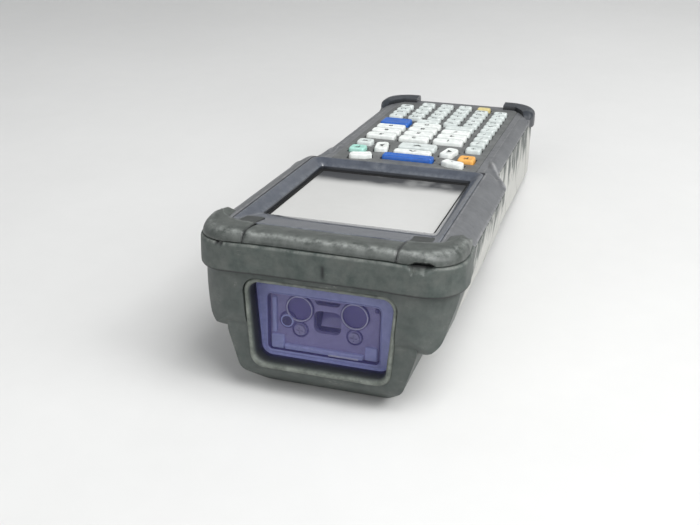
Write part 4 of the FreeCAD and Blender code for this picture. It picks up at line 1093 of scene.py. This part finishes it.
@dataclass
class Keypad:
    """All keys, grouped by the body they ride on."""
    column: float = 8.9
    letter_first: float = 171.3
    letter_pitch: float = 6.9
    number_first: float = 133.6
    number_pitch: float = 7.95
    wide: Triple = (-19.0, -4.6, 9.9)
    low: float = -1.9
    top: float = 1.6
    shrink: float = 0.2
    lean: Array = field(default_factory=lambda: np.array([0.0, 0.16]))
    arrow: tuple[Triple, ...] = ((10.2, 112.6, 1.6), (15.8, 111.4, 1.6), (17.4, 121.4, 1.6),
                                 (12.2, 123.4, 1.6))
    soft: tuple[Triple, ...] = ((13.4, 102.2, 1.2), (16.2, 99.8, 2.5), (22.6, 98.4, 1.8), (23.2, 103.2, 1.8),
                                (17.6, 104.6, 2.5), (15.0, 106.8, 1.2))

    @staticmethod
    def straight(node: str, x: float, y: float, width: float, length: float, finish: str = "key_white",
                 mark: str | Mark = "") -> Key:
        """A straight key."""
        return Key(node, box_corners(x - width / 2, x + width / 2, y - length / 2, y + length / 2, 1.1),
                   finish, mark)

    @staticmethod
    def bent(node: str, outline: tuple[Triple, ...], sign: int, mark: str | Mark = "") -> Key:
        """A shaped key on the left (-1) or right (+1)."""
        return Key(node, [(sign * u, v, radius) for u, v, radius in outline][::sign], mark=mark)

    def keys(self) -> list[Key]:
        """All keys; the marks are read from the keypad's end."""
        columns = [self.column * (step - 2.5) for step in range(6)]
        letters = [self.letter_first + self.letter_pitch * step for step in range(-1, 5)]
        numbers = [self.number_first + self.number_pitch * step for step in range(4)]
        left, middle, right = self.wide
        straight = self.straight
        made = [
            self.bent("key_soft_left", self.soft, -1),
            self.bent("key_soft_right", self.soft, 1, "-"),
            straight("key_scan", 0, 105.2, 20.6, 5.6, "key_blue"),
            straight("key_up", 0, 112.6, 15.6, 4.6, mark=Mark.UP),
            straight("key_down", 0, 121.4, 15.6, 7.6, "key_pale", Mark.DOWN),
            self.bent("key_arrow_left", self.arrow, -1, Mark.LEFT),
            self.bent("key_arrow_right", self.arrow, 1, Mark.RIGHT),
            straight("key_green", columns[0], 111.6, 6.8, 6.8, "key_mint", "F"),
            straight("key_tab", columns[0], 122.2, 6.8, 6.4, "key_pale", "="),
            straight("key_orange", columns[5], 109.8, 6.8, 7.4, "key_amber", "F"),
            straight("key_enter", left - 0.2, 160.3, 13.2, 10.4, "key_blue"),
            straight("key_zero", middle - 1.1, letters[0], 10.4, 4.7, "key_pale", "*"),
            straight("key_point", right, numbers[3], 12.8, 5.6, "key_pale", "."),
            straight("key_escape", columns[5], 124.6, 6.6, 5.8, "key_pale", "+")]
        for step in range(3):
            number = 3 * step
            made.append(straight(f"key_left_{step + 1}", left, numbers[step] + 1.2, 12.8, 5.6,
                                 mark=str(number + 3)))
            made.append(straight(f"key_right_{step + 1}", right, numbers[step], 12.8, 5.6,
                                 mark=str(number + 1)))
        for step in range(4):
            digit = "0" if step == 3 else str(3 * step + 2)
            made.append(straight(f"key_middle_{step + 1}", middle, numbers[step], 12.8, 5.6, mark=digit))
            made.append(straight(f"key_function_{step + 1}", columns[5], numbers[step], 6.6, 5.2,
                                 "key_pale", "/"))
        alphabet = iter("ABCDEFGHIJKLMNOPQRSTUVWXYZ#+-=")
        for step, (first, last) in enumerate(((3, 5), (0, 5), (0, 5), (0, 5), (0, 5), (1, 4))):
            for index in range(last, first - 1, -1):
                looks = ("key_straw", "") if step == 5 and index == 4 else ("key_pale", next(alphabet))
                made.append(straight(f"letter_row_{step + 1}", columns[index], letters[step], 6.6, 4.7,
                                     *looks))
        return made

    def shape(self, skin: Skin, key: Key, slot: int) -> tuple[Array, float]:
        """Adds one cap: steep walls, a rolled top edge and a dished top; returns its middle and length."""
        corners = np.array(key.corners)[:, :2]
        middle = np.mean(corners, axis=0)
        size = corners.max(axis=0) - corners.min(axis=0)
        base = rounded_loop(key.corners, 6, 4)
        loops = []
        for inset, level in ((0.0, self.low), (0.0, self.low + 1.9), (0.12, self.top - 0.5),
                             (0.25, self.top - 0.16), (0.5, self.top), (0.8, self.top + 0.02),
                             (1.2, self.top - 0.08), (1.7, self.top - 0.16)):
            share = 1 - 2 * (inset + self.shrink) / size
            rise = (level - self.low) / (self.top - self.low)
            loops.append(lift(middle + self.lean * rise + (base - middle) * share, level))
        centre = np.broadcast_to(np.array([*(middle + self.lean), self.top - 0.2]), loops[0].shape)
        loops.append(centre * 0.5 + loops[-1] * 0.5)
        index = skin.grid(np.stack(loops), closed=True, slot=slot)
        skin.cap(index[-1], slot=slot)
        skin.cap(index[0], flip=True, slot=slot)
        return middle + self.lean, float(size[1])

    def print_mark(self, skin: Skin, mark: str | Mark, place: Array, length: float, slot: int) -> None:
        """Prints a character or an arrow head on a cap, upright for a reader at the keypad's end."""
        tall = min(length * 0.72, 3.8)
        level = self.top - 0.03
        if isinstance(mark, Mark):
            head = np.array([[-1.0, -0.45], [0.0, 0.55], [1.0, -0.45],
                             [0.45, -0.45], [0.0, 0.02], [-0.45, -0.45]])
            angle = mark.value * math.pi / 2
            c, s = round(math.cos(angle)), round(math.sin(angle))
            flat = head @ np.array([[c, s], [-s, c]]) * tall * 0.5 + place
            skin.loose(lift(flat, level), [(0, 5, 4, 1), (1, 4, 3, 2)], slot)
            return
        curve = bpy.data.curves.new("print", "FONT")
        curve.body = mark
        curve.size = tall
        curve.align_x = "CENTER"
        curve.align_y = "CENTER"
        curve.resolution_u = 2
        carrier = bpy.data.objects.new("print", curve)
        mesh = bpy.data.meshes.new_from_object(carrier)
        points = np.zeros(len(mesh.vertices) * 3)
        mesh.vertices.foreach_get("co", points)
        flat = place - points.reshape(-1, 3)[:, :2] * [1.15, 1.0]
        skin.loose(lift(flat, level), [tuple(polygon.vertices) for polygon in mesh.polygons], slot)
        bpy.data.objects.remove(carrier)
        bpy.data.curves.remove(curve)
        bpy.data.meshes.remove(mesh)

    def build(self) -> None:
        """Makes one object for each key body."""
        keys = self.keys()
        for node in dict.fromkeys(key.node for key in keys):
            members = [key for key in keys if key.node == node]
            finishes = (*dict.fromkeys(key.finish for key in members), "key_print")
            skin = Skin(node + "_cap")
            for key in members:
                place, length = self.shape(skin, key, finishes.index(key.finish))
                if key.mark:
                    self.print_mark(skin, key.mark, place, length, len(finishes) - 1)
            slot = finishes[0] if finishes[0] in ("key_blue", "key_mint", "key_amber") else "key_white"
            skin.fit(finishes, 50, node, slot, node)


class Studio:
    """Table, soft lights and the photograph's camera."""
    focal_px = 960.1
    width_px = 700.0
    azimuth, elevation, roll = math.radians(17.028), math.radians(21.792), math.radians(0.9946)
    eye = (85.4, -248.05, 101.35)

    def camera(self) -> None:
        """Sets the camera that was fitted to the photograph, in the deck frame."""
        ca, sa = math.cos(self.azimuth), math.sin(self.azimuth)
        ce, se = math.cos(self.elevation), math.sin(self.elevation)
        ahead = np.array([-sa * ce, ca * ce, -se])
        right = np.array([ca, sa, 0.0])
        up = np.cross(right, ahead)
        cr, sr = math.cos(self.roll), math.sin(self.roll)
        axes = np.stack([cr * right + sr * up, -sr * right + cr * up, -ahead], axis=1)
        matrix = np.eye(4)
        matrix[:3, :3] = DECK.turn() @ axes
        matrix[:3, 3] = DECK.place(np.array([self.eye]))[0]
        data = bpy.data.cameras.new("photo_camera")
        data.sensor_width = 36.0
        data.lens = self.focal_px / self.width_px * data.sensor_width
        data.clip_start = 0.01
        data.clip_end = 20.0
        made = bpy.data.objects.new("photo_camera", data)
        made.matrix_world = Matrix(matrix.tolist())
        bpy.context.scene.collection.objects.link(made)
        bpy.context.scene.camera = made

    def table(self) -> None:
        """A pale table that curves up into a backdrop."""
        angle = np.linspace(0, 1, 25) * math.pi / 2
        run = np.concatenate([np.linspace(-3.0, 1.1, 12), 1.1 + 0.5 * np.sin(angle), [1.6]])
        rise = np.concatenate([np.zeros(12), 0.5 * (1 - np.cos(angle)), [3.0]])
        grid_x, grid_y = np.meshgrid(np.linspace(-4, 4, 9), run)
        points = np.stack([grid_x, grid_y, np.broadcast_to(rise[:, None], grid_x.shape)], axis=-1)
        index = np.arange(grid_x.size).reshape(grid_x.shape)
        quads = np.stack([index[:-1, :-1], index[:-1, 1:], index[1:, 1:], index[1:, :-1]], axis=-1)
        mesh = bpy.data.meshes.new("table")
        mesh.from_pydata(points.reshape(-1, 3).tolist(), [], quads.reshape(-1, 4).tolist())
        mesh.materials.append(paint("table"))
        mesh.polygons.foreach_set("use_smooth", np.ones(len(mesh.polygons), dtype=bool))
        made = bpy.data.objects.new("table", mesh)
        bpy.context.scene.collection.objects.link(made)

    def lights(self) -> None:
        """A large soft top light, a side fill and an even pale surround."""
        for name, place, aim, size, watts in (
                ("top_light", (0.45, -0.25, 1.0), (0.05, -0.1, 0), 0.8, 11.5),
                ("side_light", (0.9, -0.1, 0.7), (0, 0, 0), 0.6, 4.5),
                ("front_light", (-0.3, -0.9, 0.6), (0, 0, 0.02), 0.7, 2.5)):
            data = bpy.data.lights.new(name, "AREA")
            data.shape = "SQUARE"
            data.size = size
            data.energy = watts
            made = bpy.data.objects.new(name, data)
            made.location = place
            made.rotation_euler = (Vector(aim) - Vector(place)).to_track_quat("-Z", "Y").to_euler()
            bpy.context.scene.collection.objects.link(made)
        world = bpy.data.worlds.new("studio")
        world.use_nodes = True
        world.node_tree.nodes["Background"].inputs["Color"].default_value = (0.92, 0.94, 0.97, 1)
        world.node_tree.nodes["Background"].inputs["Strength"].default_value = 0.4
        bpy.context.scene.world = world
        bpy.context.scene.view_settings.view_transform = "Standard"


def dress_nodes() -> None:
    """Gives every CAD node the finish of its slot in the record."""
    for entry in frame["record"]["subparts"]:
        made = bpy.data.objects.get(entry["node"])
        if made is None or made.type != "MESH":
            log.warning("no object for node %s", entry["node"])
            continue
        finish = paint(entry["material_slot"])
        for slot in made.material_slots:
            slot.material = finish
        if not made.material_slots:
            made.data.materials.append(finish)


def main() -> None:
    logging.basicConfig(level=logging.INFO, format="%(name)s: %(message)s")
    studio = Studio()
    studio.camera()
    dress_nodes()
    casing = Casing()
    casing.front_housing()
    casing.case_screws()
    window = Window()
    window.rim()
    window.surround()
    window.fittings()
    head = Head()
    head.band()
    head.roll()
    for side, word in ((-1, "left"), (1, "right")):
        head.bumper(side, f"front_bumper_{word}_pad", f"front_bumper_{word}")
    for side, word in ((-1, "left"), (1, "right")):
        RearBumpers().build(side, f"rear_bumper_{word}_pad", f"rear_bumper_{word}")
    Display().bezel()
    Keypad().build()
    studio.table()
    studio.lights()


if __name__ == "__main__":
    main()
